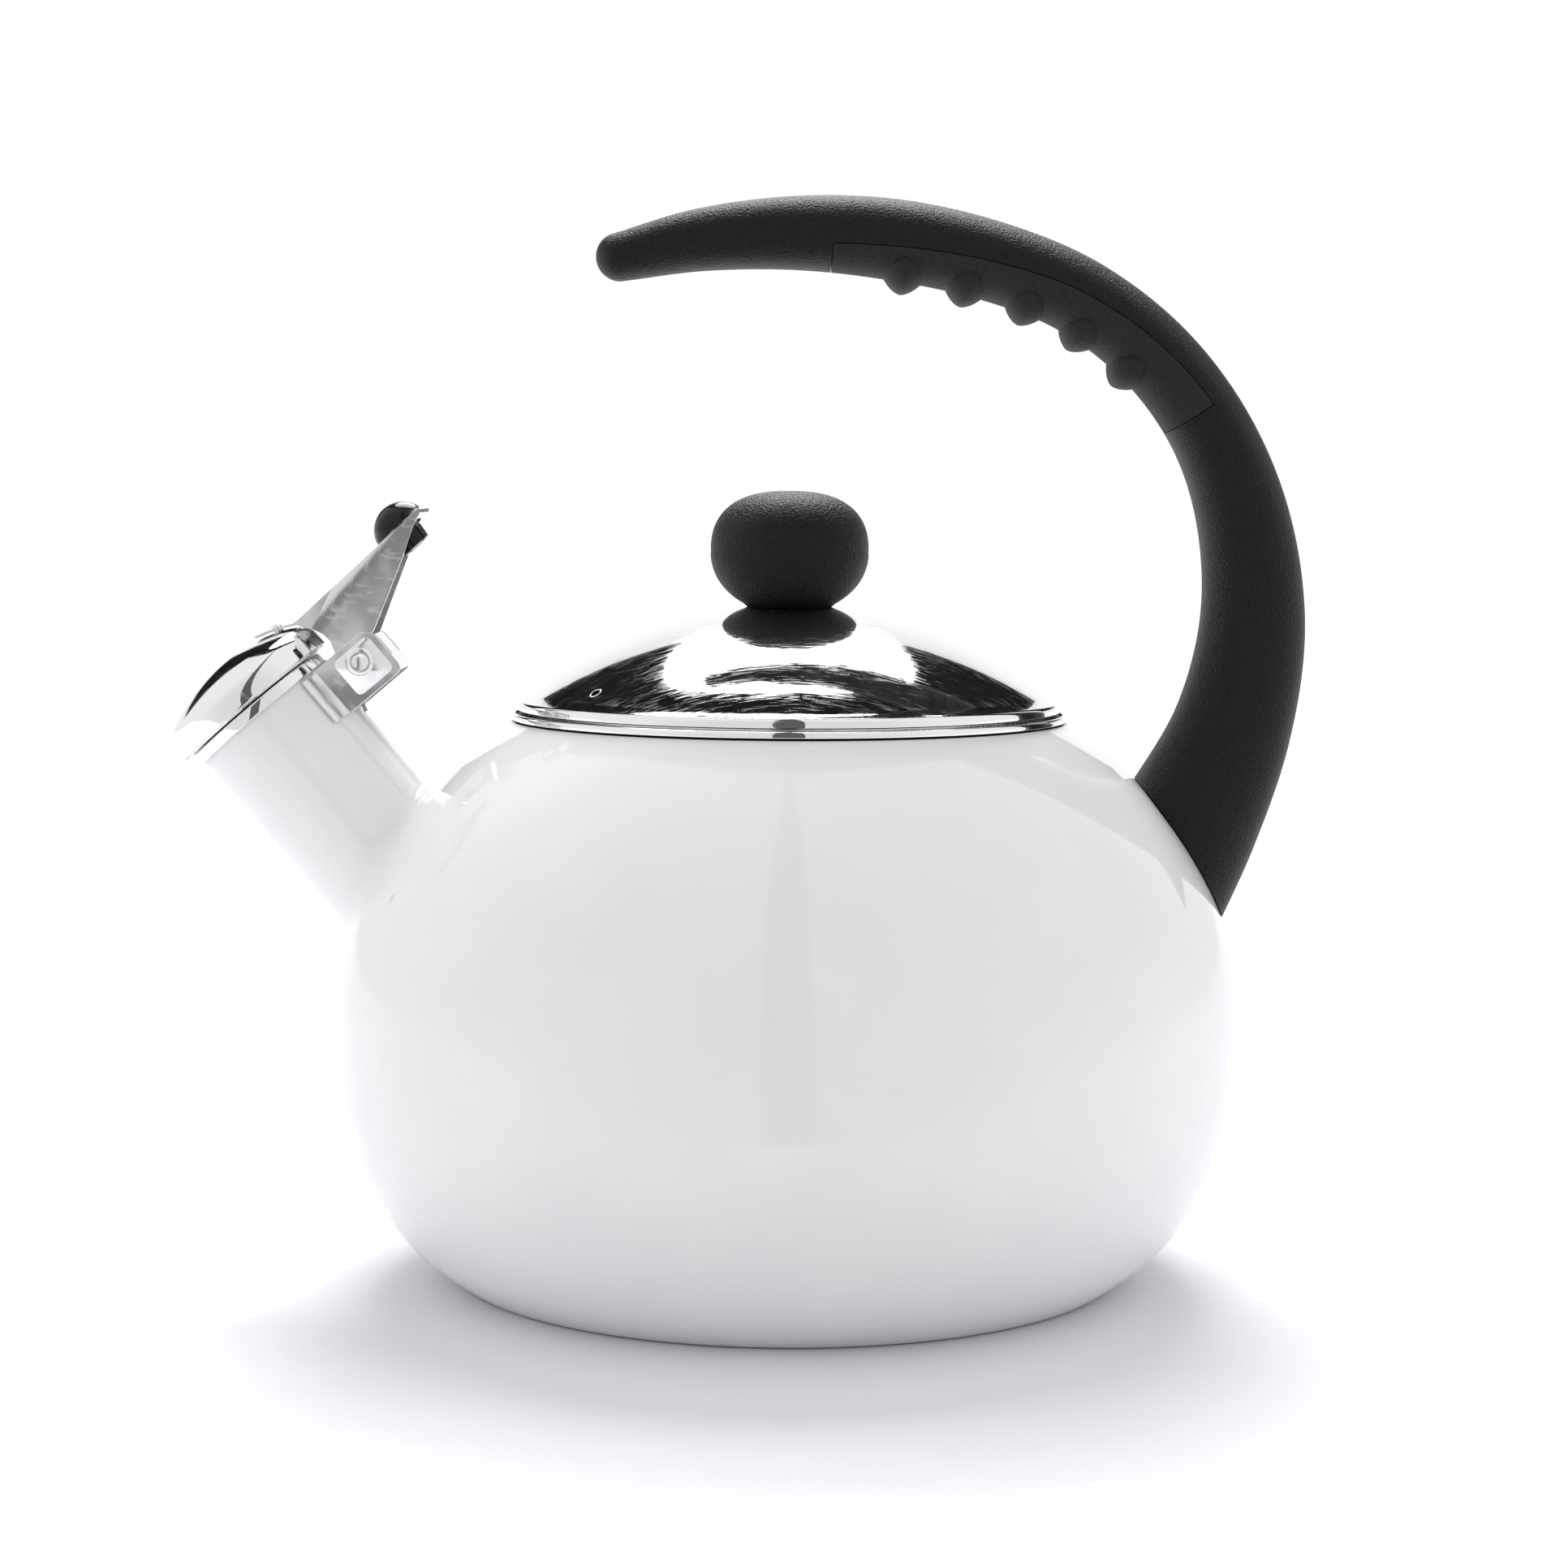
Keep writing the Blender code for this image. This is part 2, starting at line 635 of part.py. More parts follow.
def make_spring(finish, pin_frame):
    """Torsion spring round the pin: one leg bears on the spout, the other under the lever."""
    steps = 12
    points = []
    coil = SPRING_COIL_RADIUS
    wire = SPRING_WIRE_RADIUS
    y_low = -SPRING_LENGTH / 2
    leg_x = -PIVOT_STANDOFF + wire + SEAM
    points.append((leg_x, y_low, -8.5 * MM))
    points.append((leg_x + 0.6 * MM, y_low, -6.5 * MM))
    turns = SPRING_TURNS * steps + steps // 2
    for index in range(turns + 1):
        angle = math.pi - 2 * math.pi * index / steps
        y = y_low + SPRING_LENGTH * index / turns
        points.append((coil * math.cos(angle), y, coil * math.sin(angle)))
    pivot = pivot_point()
    leg_end_x = 7 * MM
    under = lever_top(pivot.x + leg_end_x) - pivot.z - LEVER_SHEET - SEAM - wire
    points.append((coil + 1.2 * MM, -y_low, 4 * MM))
    points.append((leg_end_x - 1.0 * MM, -y_low, under - 1.5 * MM))
    points.append((leg_end_x, -y_low, under - 0.3 * MM))
    curve = bpy.data.curves.new("hinge_spring", "CURVE")
    curve.dimensions = "3D"
    curve.bevel_depth = wire
    curve.bevel_resolution = 1
    curve.use_fill_caps = True
    spline = curve.splines.new("POLY")
    spline.points.add(len(points) - 1)
    for spot, place in zip(spline.points, points):
        spot.co = (*place, 1.0)
    spring = bpy.data.objects.new("hinge_spring", curve)
    bpy.context.scene.collection.objects.link(spring)
    spring.parent = pin_frame
    curve.materials.append(finish)


# ================================================================ whistle cap
def cap_radius():
    return SPOUT_RADIUS + CAP_OVERLAP


def cap_rim():
    """Height of the cap's lower edge along the spout."""
    return spout_mouth() + 2 * SEAM


def cap_dome(radius, sheet=0.0):
    """Height of the cap's dome along the spout."""
    ball = CAP_DOME_RADIUS - sheet
    return cap_rim() + CAP_RISE - 0.6 * MM - CAP_DOME_RADIUS + math.sqrt(ball**2 - radius**2)


def make_cap(finishes, cap_frame):
    home = -pivot_point()
    outer = cap_radius()
    inner = outer - CAP_SHEET
    rim = cap_rim()
    skirt = rim + CAP_SKIRT
    steps = 5
    section = []
    for index in range(steps + 1):
        radius = CAP_VENT_RADIUS + (outer - 0.9 * MM - CAP_VENT_RADIUS) * index / steps
        section.append((radius, cap_dome(radius)))
    section += [(outer - 0.2 * MM, skirt + 0.1 * MM), (outer, skirt - 0.7 * MM)]
    section += [(outer, rim), (inner, rim)]
    section += [(inner, skirt - 1.0 * MM), (inner - 0.2 * MM, skirt - 0.4 * MM)]
    for index in range(steps, -1, -1):
        radius = CAP_VENT_RADIUS + (inner - 0.9 * MM - CAP_VENT_RADIUS) * index / steps
        section.append((radius, cap_dome(radius, CAP_SHEET)))
    shell = turned_mesh("cap_shell", section, 36)
    cap = add_object("cap_shell", shell, finishes["steel"], cap_frame, home)

    low = spout_mouth() + SEAM
    disc = inner - SEAM - 0.2 * MM
    plates = {
        "whistle_inner_plate": low,
        "whistle_outer_plate": low + WHISTLE_SHEET + WHISTLE_CHAMBER,
    }
    for name, height in plates.items():
        plate = [
            (WHISTLE_HOLE_RADIUS, height),
            (disc, height),
            (disc, height + WHISTLE_SHEET),
            (WHISTLE_HOLE_RADIUS, height + WHISTLE_SHEET),
        ]
        add_object(name, turned_mesh(name, plate, 28), finishes["steel"], cap_frame, home)
    spacer_low = low + WHISTLE_SHEET + SEAM
    spacer_top = low + WHISTLE_SHEET + WHISTLE_CHAMBER - SEAM
    spacer = [
        (disc - 1.4 * MM, spacer_low),
        (disc, spacer_low),
        (disc, spacer_top),
        (disc - 1.4 * MM, spacer_top),
    ]
    spacer_mesh = turned_mesh("whistle_spacer", spacer, 28)
    add_object("whistle_spacer", spacer_mesh, finishes["steel"], cap_frame, home)
    return cap


# ================================================================ thumb lever
def lever_top(x):
    """Height of the lever's top face at a distance from the spout's axis."""
    start = cap_radius() - 2.9 * MM
    return cap_rim() + 6.8 * MM + (x - start) * math.tan(LEVER_SLOPE)


def lever_outline():
    """Side view of the lever: top face, curled lip, sloping lower edge, ear and cap relief."""
    pivot = pivot_point()
    cap = cap_radius()
    tip = pivot.x + LEVER_REACH
    outline = [
        (cap - 1.0 * MM, lever_top(cap)),
        (pivot.x + LEVER_SHOULDER, lever_top(pivot.x + LEVER_SHOULDER)),
        (tip, lever_top(tip)),
        (tip + 1.9 * MM, lever_top(tip) - 1.4 * MM),
        (tip + 1.2 * MM, lever_top(tip) - 1.9 * MM),
        (tip - 0.2 * MM, lever_top(tip) - 0.9 * MM),
        (tip - 2.8 * MM, lever_top(tip) - 1.9 * MM),
        (tip - 9.1 * MM, lever_top(tip) - 5.7 * MM),
        (pivot.x + LEVER_SHOULDER, pivot.z + 2.7 * MM),
    ]
    for index in range(8):
        angle = math.radians(-10 - 170 * index / 7)
        outline.append(
            (pivot.x + LEVER_EAR_RADIUS * math.cos(angle), pivot.z + LEVER_EAR_RADIUS * math.sin(angle))
        )
    outline += [
        (cap + 1.1 * MM, pivot.z + 4.9 * MM),
        (cap + 1.9 * MM, pivot.z + 7.2 * MM),
        (cap + 1.7 * MM, pivot.z + 9.3 * MM),
        (cap + 0.7 * MM, lever_top(cap) - 3.3 * MM),
        (cap - 0.6 * MM, lever_top(cap) - 1.7 * MM),
        (cap - 1.0 * MM, lever_top(cap) - 1.1 * MM),
    ]
    return outline


def lever_half_width(x):
    start = pivot_point().x + LEVER_SHOULDER
    tip = pivot_point().x + LEVER_REACH
    share = min(max((x - start) / (tip - start), 0), 1.1)
    return (LEVER_WIDTH + (LEVER_TIP_WIDTH - LEVER_WIDTH) * share) / 2


def tongue_outline():
    """Side view of the tongue that lies on the cap's dome and joggles down to the lever."""
    cap = cap_radius()
    end = cap - 2.1 * MM - TONGUE_LENGTH
    steps = 4
    low = []
    high = []
    for index in range(steps + 1):
        x = end + (cap - 2.0 * MM - end) * index / steps
        low.append((x, cap_dome(x) + SEAM))
        high.append((x, cap_dome(x) + SEAM + TONGUE_SHEET))
    low.append((cap - 0.6 * MM, lever_top(cap) - LEVER_SHEET + 0.05 * MM))
    low.append((cap + 1.5 * MM, lever_top(cap) - LEVER_SHEET + 0.1 * MM))
    high.append((cap + 1.5 * MM, lever_top(cap) + 0.05 * MM))
    return low + high[::-1]


def make_lever(finishes, cap_frame, pin_hole, cap):
    home = -pivot_point()
    mesh = prism_mesh("thumb_lever", lever_outline(), lever_half_width)
    lever = add_object("thumb_lever", mesh, finishes["steel"], cap_frame, home)
    tip = pivot_point().x + LEVER_REACH
    start = cap_radius() - 6 * MM
    shoulder = pivot_point().x + LEVER_SHOULDER
    end = tip - 1.5 * MM
    hollow_side = [(x, lever_top(x) - LEVER_SHEET) for x in (start, shoulder, end)]
    hollow_side += [(end, 0), (shoulder, 0), (start, 0)]
    hollow = prism_mesh("lever_hollow", hollow_side, lambda x: lever_half_width(x) - LEVER_SHEET)
    cut(lever, add_object("lever_hollow", hollow, None, cap_frame, home))
    tongue = prism_mesh("lever_tongue", tongue_outline(), lambda x: TONGUE_WIDTH / 2)
    cut(lever, add_object("lever_tongue", tongue, None, cap_frame, home), "UNION")
    cut(lever, pin_hole)

    rivet_x = cap_radius() - 2.1 * MM - TONGUE_LENGTH / 2
    lean = math.asin(rivet_x / CAP_DOME_RADIUS)
    head = SEAM + TONGUE_SHEET + SEAM
    tail = -CAP_SHEET - SEAM
    shank = RIVET_RADIUS
    section = [
        (0, tail - 0.5 * MM),
        (RIVET_HEAD_RADIUS - 0.2 * MM, tail - 0.5 * MM),
        (RIVET_HEAD_RADIUS, tail),
        (shank, tail),
        (shank, head),
        (RIVET_HEAD_RADIUS, head),
        (RIVET_HEAD_RADIUS * 0.75, head + 0.45 * MM),
        (0, head + 0.6 * MM),
    ]
    rivet = turned_mesh("lever_rivet", section, TINY_SEGMENTS)
    hole = rod_mesh("rivet_hole", shank + SEAM, -3 * MM, 3 * MM, TINY_SEGMENTS)
    for side, name in ((-1, "lever_rivet_front"), (1, "lever_rivet_rear")):
        y = side * RIVET_SPREAD
        place = Vector((rivet_x, y, cap_dome(math.hypot(rivet_x, y)))) + home
        add_object(name, rivet, finishes["steel"], cap_frame, place, (0, lean, 0))
        drilled = add_object(name + "_hole", hole, None, cap_frame, place, (0, lean, 0))
        cut(lever, drilled)
        cut(cap, drilled)

    ball_x = tip - BALL_SETBACK
    ball_frame = make_frame(
        "ball_seat", Vector((ball_x, 0, lever_top(ball_x))) + home, -LEVER_SLOPE, cap_frame
    )
    make_ball(finishes, ball_frame, lever)


def make_ball(finishes, ball_frame, lever):
    """Moulded ball on the lever's top face, its foot below, and the pin that holds both."""
    hole = BALL_PIN_RADIUS + SEAM
    drilled = rod_mesh("ball_hole", hole, -2 * MM, 2 * MM, TINY_SEGMENTS)
    cut(lever, add_object("ball_hole", drilled, None, ball_frame))

    pin_top = 3.2 * MM
    section = [(0, pin_top + SEAM), (hole, pin_top + SEAM), (hole, SEAM)]
    first = math.asin((SEAM + BALL_SINK) / BALL_RADIUS)
    for index in range(8):
        angle = first + (math.pi / 2 - first) * index / 8
        section.append((BALL_RADIUS * math.cos(angle), BALL_RADIUS * math.sin(angle) - BALL_SINK))
    section.append((0, BALL_RADIUS - BALL_SINK))
    ball = turned_mesh("thumb_ball", section, 24)
    add_object("thumb_ball", ball, finishes["gloss"], ball_frame)

    foot_top = -LEVER_SHEET - SEAM
    recess = 2 * BALL_PIN_RADIUS + SEAM
    recess_top = -BALL_FOOT_DROP + 1.4 * MM
    foot = [
        (hole, foot_top),
        (hole, recess_top),
        (recess, recess_top),
        (recess, -BALL_FOOT_DROP),
        (BALL_FOOT_RADIUS - 0.6 * MM, -BALL_FOOT_DROP),
        (BALL_FOOT_RADIUS - 0.1 * MM, -BALL_FOOT_DROP + 0.9 * MM),
        (BALL_FOOT_RADIUS, foot_top - 1.2 * MM),
        (BALL_FOOT_RADIUS - 0.1 * MM, foot_top),
    ]
    add_object("thumb_ball_foot", turned_mesh("thumb_ball_foot", foot, 24), finishes["gloss"], ball_frame)

    head_top = recess_top - SEAM
    pin = [
        (0, -BALL_FOOT_DROP + 0.1 * MM),
        (2 * BALL_PIN_RADIUS - 0.3 * MM, -BALL_FOOT_DROP + 0.1 * MM),
        (2 * BALL_PIN_RADIUS, -BALL_FOOT_DROP + 0.4 * MM),
        (2 * BALL_PIN_RADIUS, head_top),
        (BALL_PIN_RADIUS, head_top),
        (BALL_PIN_RADIUS, pin_top),
        (0, pin_top),
    ]
    pin_mesh = turned_mesh("thumb_ball_pin", pin, TINY_SEGMENTS)
    add_object("thumb_ball_pin", pin_mesh, finishes["steel"], ball_frame)


# ================================================================ handle
def foot_point():
    height = MOUTH_HEIGHT - FOOT_DROP
    return Vector((flank(height), 0, height))


def spine_stations(per_span):
    """Centre, normal, half thickness and half width along the handle, and the running length."""
    foot = foot_point()
    rows = smooth_through(HANDLE_SPINE, per_span)
    centres = [foot + Vector((x * MM, 0, z * MM)) for x, z, _, _ in rows]
    stations = []
    run = 0.0
    for index, (centre, row) in enumerate(zip(centres, rows)):
        before = centres[max(index - 1, 0)]
        after = centres[min(index + 1, len(centres) - 1)]
        along = (after - before).normalized()
        normal = Vector((-along.z, 0, along.x))
        if index:
            run += (centre - centres[index - 1]).length
        stations.append((centre, normal, row[2] * MM / 2, row[3] * MM / 2, run))
    return stations


def ring_points(centre, normal, half_thick, half_wide, sides=16, fullness=2.35):
    power = 2 / fullness
    ring = []
    for side in range(sides):
        angle = 2 * math.pi * side / sides
        c, s = math.cos(angle), math.sin(angle)
        across = math.copysign(abs(c) ** power, c) * half_wide
        up = math.copysign(abs(s) ** power, s) * half_thick
        ring.append(centre + Vector((0, across, 0)) + normal * up)
    return ring


def loft_mesh(name, rings):
    bm = bmesh.new()
    rows = [[bm.verts.new(point) for point in ring] for ring in rings]
    bm.faces.new(rows[0])
    bm.faces.new(rows[-1][::-1])
    for low, high in zip(rows, rows[1:]):
        for side in range(len(low)):
            after = (side + 1) % len(low)
            bm.faces.new((low[side], high[side], high[after], low[after]))
    return mesh_from(bm, name)


def handle_mesh():
    stations = spine_stations(4)
    centre, normal, thick, wide, _ = stations[0]
    ahead = (stations[0][0] - stations[1][0]).normalized()
    rings = []
    for index in range(4, 0, -1):
        angle = math.radians(84) * index / 4
        shrink = math.cos(angle)
        spot = centre + ahead * thick * math.sin(angle)
        rings.append(ring_points(spot, normal, thick * shrink, wide * shrink))
    rings += [ring_points(*station[:4]) for station in stations]
    return loft_mesh("handle_form", rings)


def grip_pocket(name, inset):
    """The space of the soft insert along the handle's underside, drawn in by an inset."""
    stations = spine_stations(4)
    first = GRIP_START + inset
    last = GRIP_START + GRIP_LENGTH - inset
    chosen = [station for station in stations if first + 1.2 * MM < station[4] < last - 1.2 * MM]
    chosen.insert(0, station_at(first))
    chosen.append(station_at(last))
    rings = []
    for centre, normal, thick, wide, run in chosen:
        share = (run - GRIP_START) / GRIP_LENGTH
        seam = GRIP_SEAM_START + (GRIP_SEAM_END - GRIP_SEAM_START) * share
        top = centre + normal * (seam * thick - inset)
        low = centre - normal * (thick + 4 * MM)
        side = Vector((0, wide + 4 * MM, 0))
        rings.append([top + side, top - side, low - side, low + side])
    return loft_mesh(name, rings)


def station_at(run):
    """The handle's section at a running length, between the two nearest stations."""
    stations = spine_stations(4)
    for low, high in zip(stations, stations[1:]):
        if low[4] <= run <= high[4]:
            share = (run - low[4]) / (high[4] - low[4])
            centre = low[0].lerp(high[0], share)
            normal = low[1].lerp(high[1], share).normalized()
            thick = low[2] + (high[2] - low[2]) * share
            wide = low[3] + (high[3] - low[3]) * share
            return centre, normal, thick, wide, run
    return stations[-1]


def nub_point(way):
    """Where a line from a nub's centre leaves it: a superellipsoid, nearly a wedge along the grip."""
    low, high = 0.0, 2.0
    while high - low > NUB_ROUNDING:
        scale = (low + high) / 2
        reach = sum(abs(scale * share) ** power for share, power in zip(way, NUB_FULLNESS))
        low, high = (scale, high) if reach < 1 else (low, scale)
    return Vector([low * share * size for share, size in zip(way, NUB_HALF_SIZE)])


def make_handle(finishes, body_cutter):
    form = handle_mesh()
    handle = add_object("handle_body", form, finishes["black"])
    cut(handle, body_cutter)
    cut(handle, add_object("grip_pocket", grip_pocket("grip_pocket", 0.0)))

    grip = add_object("grip_insert", form.copy(), finishes["soft"])
    for index in range(NUB_COUNT):
        centre, normal, thick, _, _ = station_at(GRIP_START + NUB_START + index * NUB_PITCH)
        bm = bmesh.new()
        bmesh.ops.create_uvsphere(bm, u_segments=14, v_segments=10, radius=1.0)
        for vert in bm.verts:
            vert.co = nub_point(vert.co)
        nub = add_object("grip_nub", mesh_from(bm, "grip_nub"))
        nub.location = centre - normal * (thick - NUB_SINK)
        nub.rotation_euler = (0, math.atan2(normal.x, normal.z), 0)
        cut(grip, nub, "UNION")
    envelope = add_object("grip_envelope", grip_pocket("grip_envelope", SEAM))
    cut(grip, envelope, "INTERSECT")

    foot = foot_point()
    last, before = HANDLE_SPINE[-1], HANDLE_SPINE[-2]
    along = Vector((before[0] - last[0], 0, before[1] - last[1]))
    lean = math.atan2(along.x, along.z)
    tang_frame = make_frame("tang_frame", foot, lean)
    half_wide = TANG_WIDTH / 2
    half_thick = TANG_THICKNESS / 2
    tang_mesh = box_mesh(
        "handle_tang", (-half_thick, -half_wide, -14 * MM), (half_thick, half_wide, TANG_LENGTH)
    )
    tang = add_object("handle_tang", tang_mesh, finishes["steel"], tang_frame)
    cut(tang, body_cutter)
    socket_mesh = box_mesh(
        "tang_socket",
        (-half_thick - SEAM, -half_wide - SEAM, -20 * MM),
        (half_thick + SEAM, half_wide + SEAM, TANG_LENGTH + SEAM),
    )
    cut(handle, add_object("tang_socket", socket_mesh, None, tang_frame))
    make_handle_screws(finishes["steel"], tang_frame, handle, tang)


def make_handle_screws(finish, tang_frame, handle, tang):
    """Two screws that cross the foot from its rear side, through the tang."""
    seat = FOOT_WIDTH / 2 - 4.7 * MM
    tip = -seat + 1 * MM
    shank = HANDLE_SCREW_RADIUS
    head = HANDLE_SCREW_HEAD_RADIUS
    section = [
        (0, tip),
        (shank, tip),
        (shank, seat + SEAM),
        (head, seat + SEAM),
        (head, seat + 1.6 * MM),
        (head - 0.7 * MM, seat + 2.1 * MM),
        (0, seat + 2.1 * MM),
    ]
    screw = turned_mesh("handle_screw", section, SMALL_SEGMENTS)
    bore = rod_mesh("screw_bore", shank + SEAM, tip - SEAM, seat + 1 * MM, SMALL_SEGMENTS)
    recess = rod_mesh("screw_recess", head + SEAM, seat, FOOT_WIDTH, SMALL_SEGMENTS)
    turn = (-math.pi / 2, 0, 0)
    for height, name in zip(HANDLE_SCREW_HEIGHTS, ("handle_screw_lower", "handle_screw_upper")):
        place = (0, 0, height)
        add_object(name, screw, finish, tang_frame, place, turn)
        drilled = add_object(name + "_bore", bore, None, tang_frame, place, turn)
        cut(handle, drilled)
        cut(tang, drilled)
        cut(handle, add_object(name + "_recess", recess, None, tang_frame, place, turn))


# ================================================================ assembly
clear_scene()
FINISHES = make_finishes()

LID_FRAME = make_frame("lid_slide", (0, 0, MOUTH_HEIGHT + SEAM + RIM_BAND + 1.2 * SEAM))
SPOUT_ROOT = (-flank(SPOUT_ROOT_HEIGHT), 0, SPOUT_ROOT_HEIGHT)
SPOUT_FRAME = make_frame("spout_axis", SPOUT_ROOT, SPOUT_TILT - math.pi / 2)
CAP_FRAME = make_frame("cap_pivot", pivot_point(), parent=SPOUT_FRAME)

BODY_CLEARANCE = make_body_cutter()
make_body(FINISHES["enamel"], SPOUT_FRAME)
make_mouth_ring(FINISHES["steel"])
make_lid(FINISHES, LID_FRAME)
make_knob(FINISHES, LID_FRAME)
make_spout(FINISHES, SPOUT_FRAME, BODY_CLEARANCE)
PIN_HOLE = make_bracket(FINISHES["steel"], SPOUT_FRAME)
make_pin(FINISHES["steel"], CAP_FRAME)
make_spring(FINISHES["spring"], CAP_FRAME)
CAP = make_cap(FINISHES, CAP_FRAME)
make_lever(FINISHES, CAP_FRAME, PIN_HOLE, CAP)
make_handle(FINISHES, BODY_CLEARANCE)
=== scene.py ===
"""Looks of a stovetop whistling kettle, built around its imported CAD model.

Shapes are drawn in millimetres in the model's own frame and scaled to metres as each piece is made:
Z is up through the lid knob, -X points along the spout, and +X towards the handle's foot.
"""

import math

import bmesh
import bpy
from mathutils import Matrix, Vector


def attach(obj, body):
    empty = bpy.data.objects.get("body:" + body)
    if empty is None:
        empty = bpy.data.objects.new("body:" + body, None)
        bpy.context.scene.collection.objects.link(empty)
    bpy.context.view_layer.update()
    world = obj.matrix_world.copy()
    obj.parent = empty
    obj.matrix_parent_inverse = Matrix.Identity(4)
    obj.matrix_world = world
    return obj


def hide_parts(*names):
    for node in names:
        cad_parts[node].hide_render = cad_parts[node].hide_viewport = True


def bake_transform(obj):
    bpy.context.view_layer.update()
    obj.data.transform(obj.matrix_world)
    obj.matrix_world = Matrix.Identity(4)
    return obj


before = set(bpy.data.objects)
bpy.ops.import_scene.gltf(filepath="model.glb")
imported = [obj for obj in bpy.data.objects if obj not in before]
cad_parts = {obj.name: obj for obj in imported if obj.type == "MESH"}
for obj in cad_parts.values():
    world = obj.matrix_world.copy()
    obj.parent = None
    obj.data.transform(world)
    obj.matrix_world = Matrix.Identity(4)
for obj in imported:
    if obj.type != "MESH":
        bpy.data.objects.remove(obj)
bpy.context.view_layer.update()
MM = 0.001
scene = bpy.context.scene

# ============================================================================ camera
# A long portrait lens on a tripod a little above the knob, tipped down towards the kettle's belly.
CAMERA_DISTANCE = 700
CAMERA_HEIGHT = 166.5
CAMERA_SHIFT_LEFT = 0.94
CAMERA_TIP = 0.091
CAMERA_ROLL = math.radians(0.3)

camera_data = bpy.data.cameras.new("camera")
camera_data.lens = 76.7
camera_data.sensor_width = 36
camera = bpy.data.objects.new("camera", camera_data)
scene.collection.objects.link(camera)
camera.matrix_world = (
    Matrix.Translation(Vector((-CAMERA_SHIFT_LEFT, -CAMERA_DISTANCE, CAMERA_HEIGHT)) * MM)
    @ Matrix.Rotation(math.pi / 2 - CAMERA_TIP, 4, "X")
    @ Matrix.Rotation(CAMERA_ROLL, 4, "Z")
)
scene.camera = camera
scene.view_settings.view_transform = "Standard"


# ============================================================================ studio
# A white light tent: two banks meet over the set, a softbox hangs above and behind the kettle,
# and a white paper backdrop stands at the rear. Between them the tent's frame stays dark.
def linear(code):
    """The linear colour of an sRGB hex code."""
    channels = [int(code[place : place + 2], 16) / 255 for place in (1, 3, 5)]
    return (*[c / 12.92 if c <= 0.04045 else ((c + 0.055) / 1.055) ** 2.4 for c in channels], 1.0)


def first_output(node):
    return next(socket for socket in node.outputs if socket.enabled)


def add_node(tree, kind, settings=None, links=None):
    """A node with its settings, and its inputs set to a value or linked to another output."""
    made = tree.nodes.new(kind)
    for name, value in (settings or {}).items():
        setattr(made, name, value)
    for name, value in (links or {}).items():
        if isinstance(value, bpy.types.Node):
            value = first_output(value)
        if isinstance(value, bpy.types.NodeSocket):
            tree.links.new(value, made.inputs[name])
        else:
            made.inputs[name].default_value = value
    return made


BANK_LIGHT = 0.95
BANK_FRONT_LIGHT = 0.8
BACKDROP_LIGHT = 1.06
SOFTBOX_LIGHT = 8.6
FRAME_LIGHT = 0.012
GAP_LIGHT = 0.12
# Places on the tent's ceiling, as shares of its height above the kettle.
LOWEST_RISE = 0.04
SOFTBOX_BACK = 0.72
SOFTBOX_NEAR_DEPTH = 0.395
SOFTBOX_FAR_DEPTH = 1.22
SOFTBOX_HALF_WIDTH = 0.40
BACKDROP_TOP = 1.28
BACKDROP_SAG = 1.2
BACKDROP_SPREAD = 0.414
RIDGE_START = 0.105
RIDGE_CURVE = 1.56
RIDGE_OUTER_START = 0.47
RIDGE_OUTER_SLOPE = 0.9
# Directions: the rise above which the frame shows, and the slit between the banks.
FRAME_RISE = 0.17
SLIT_HALF_WIDTH = 0.02
SLIT_SPREAD = 0.095


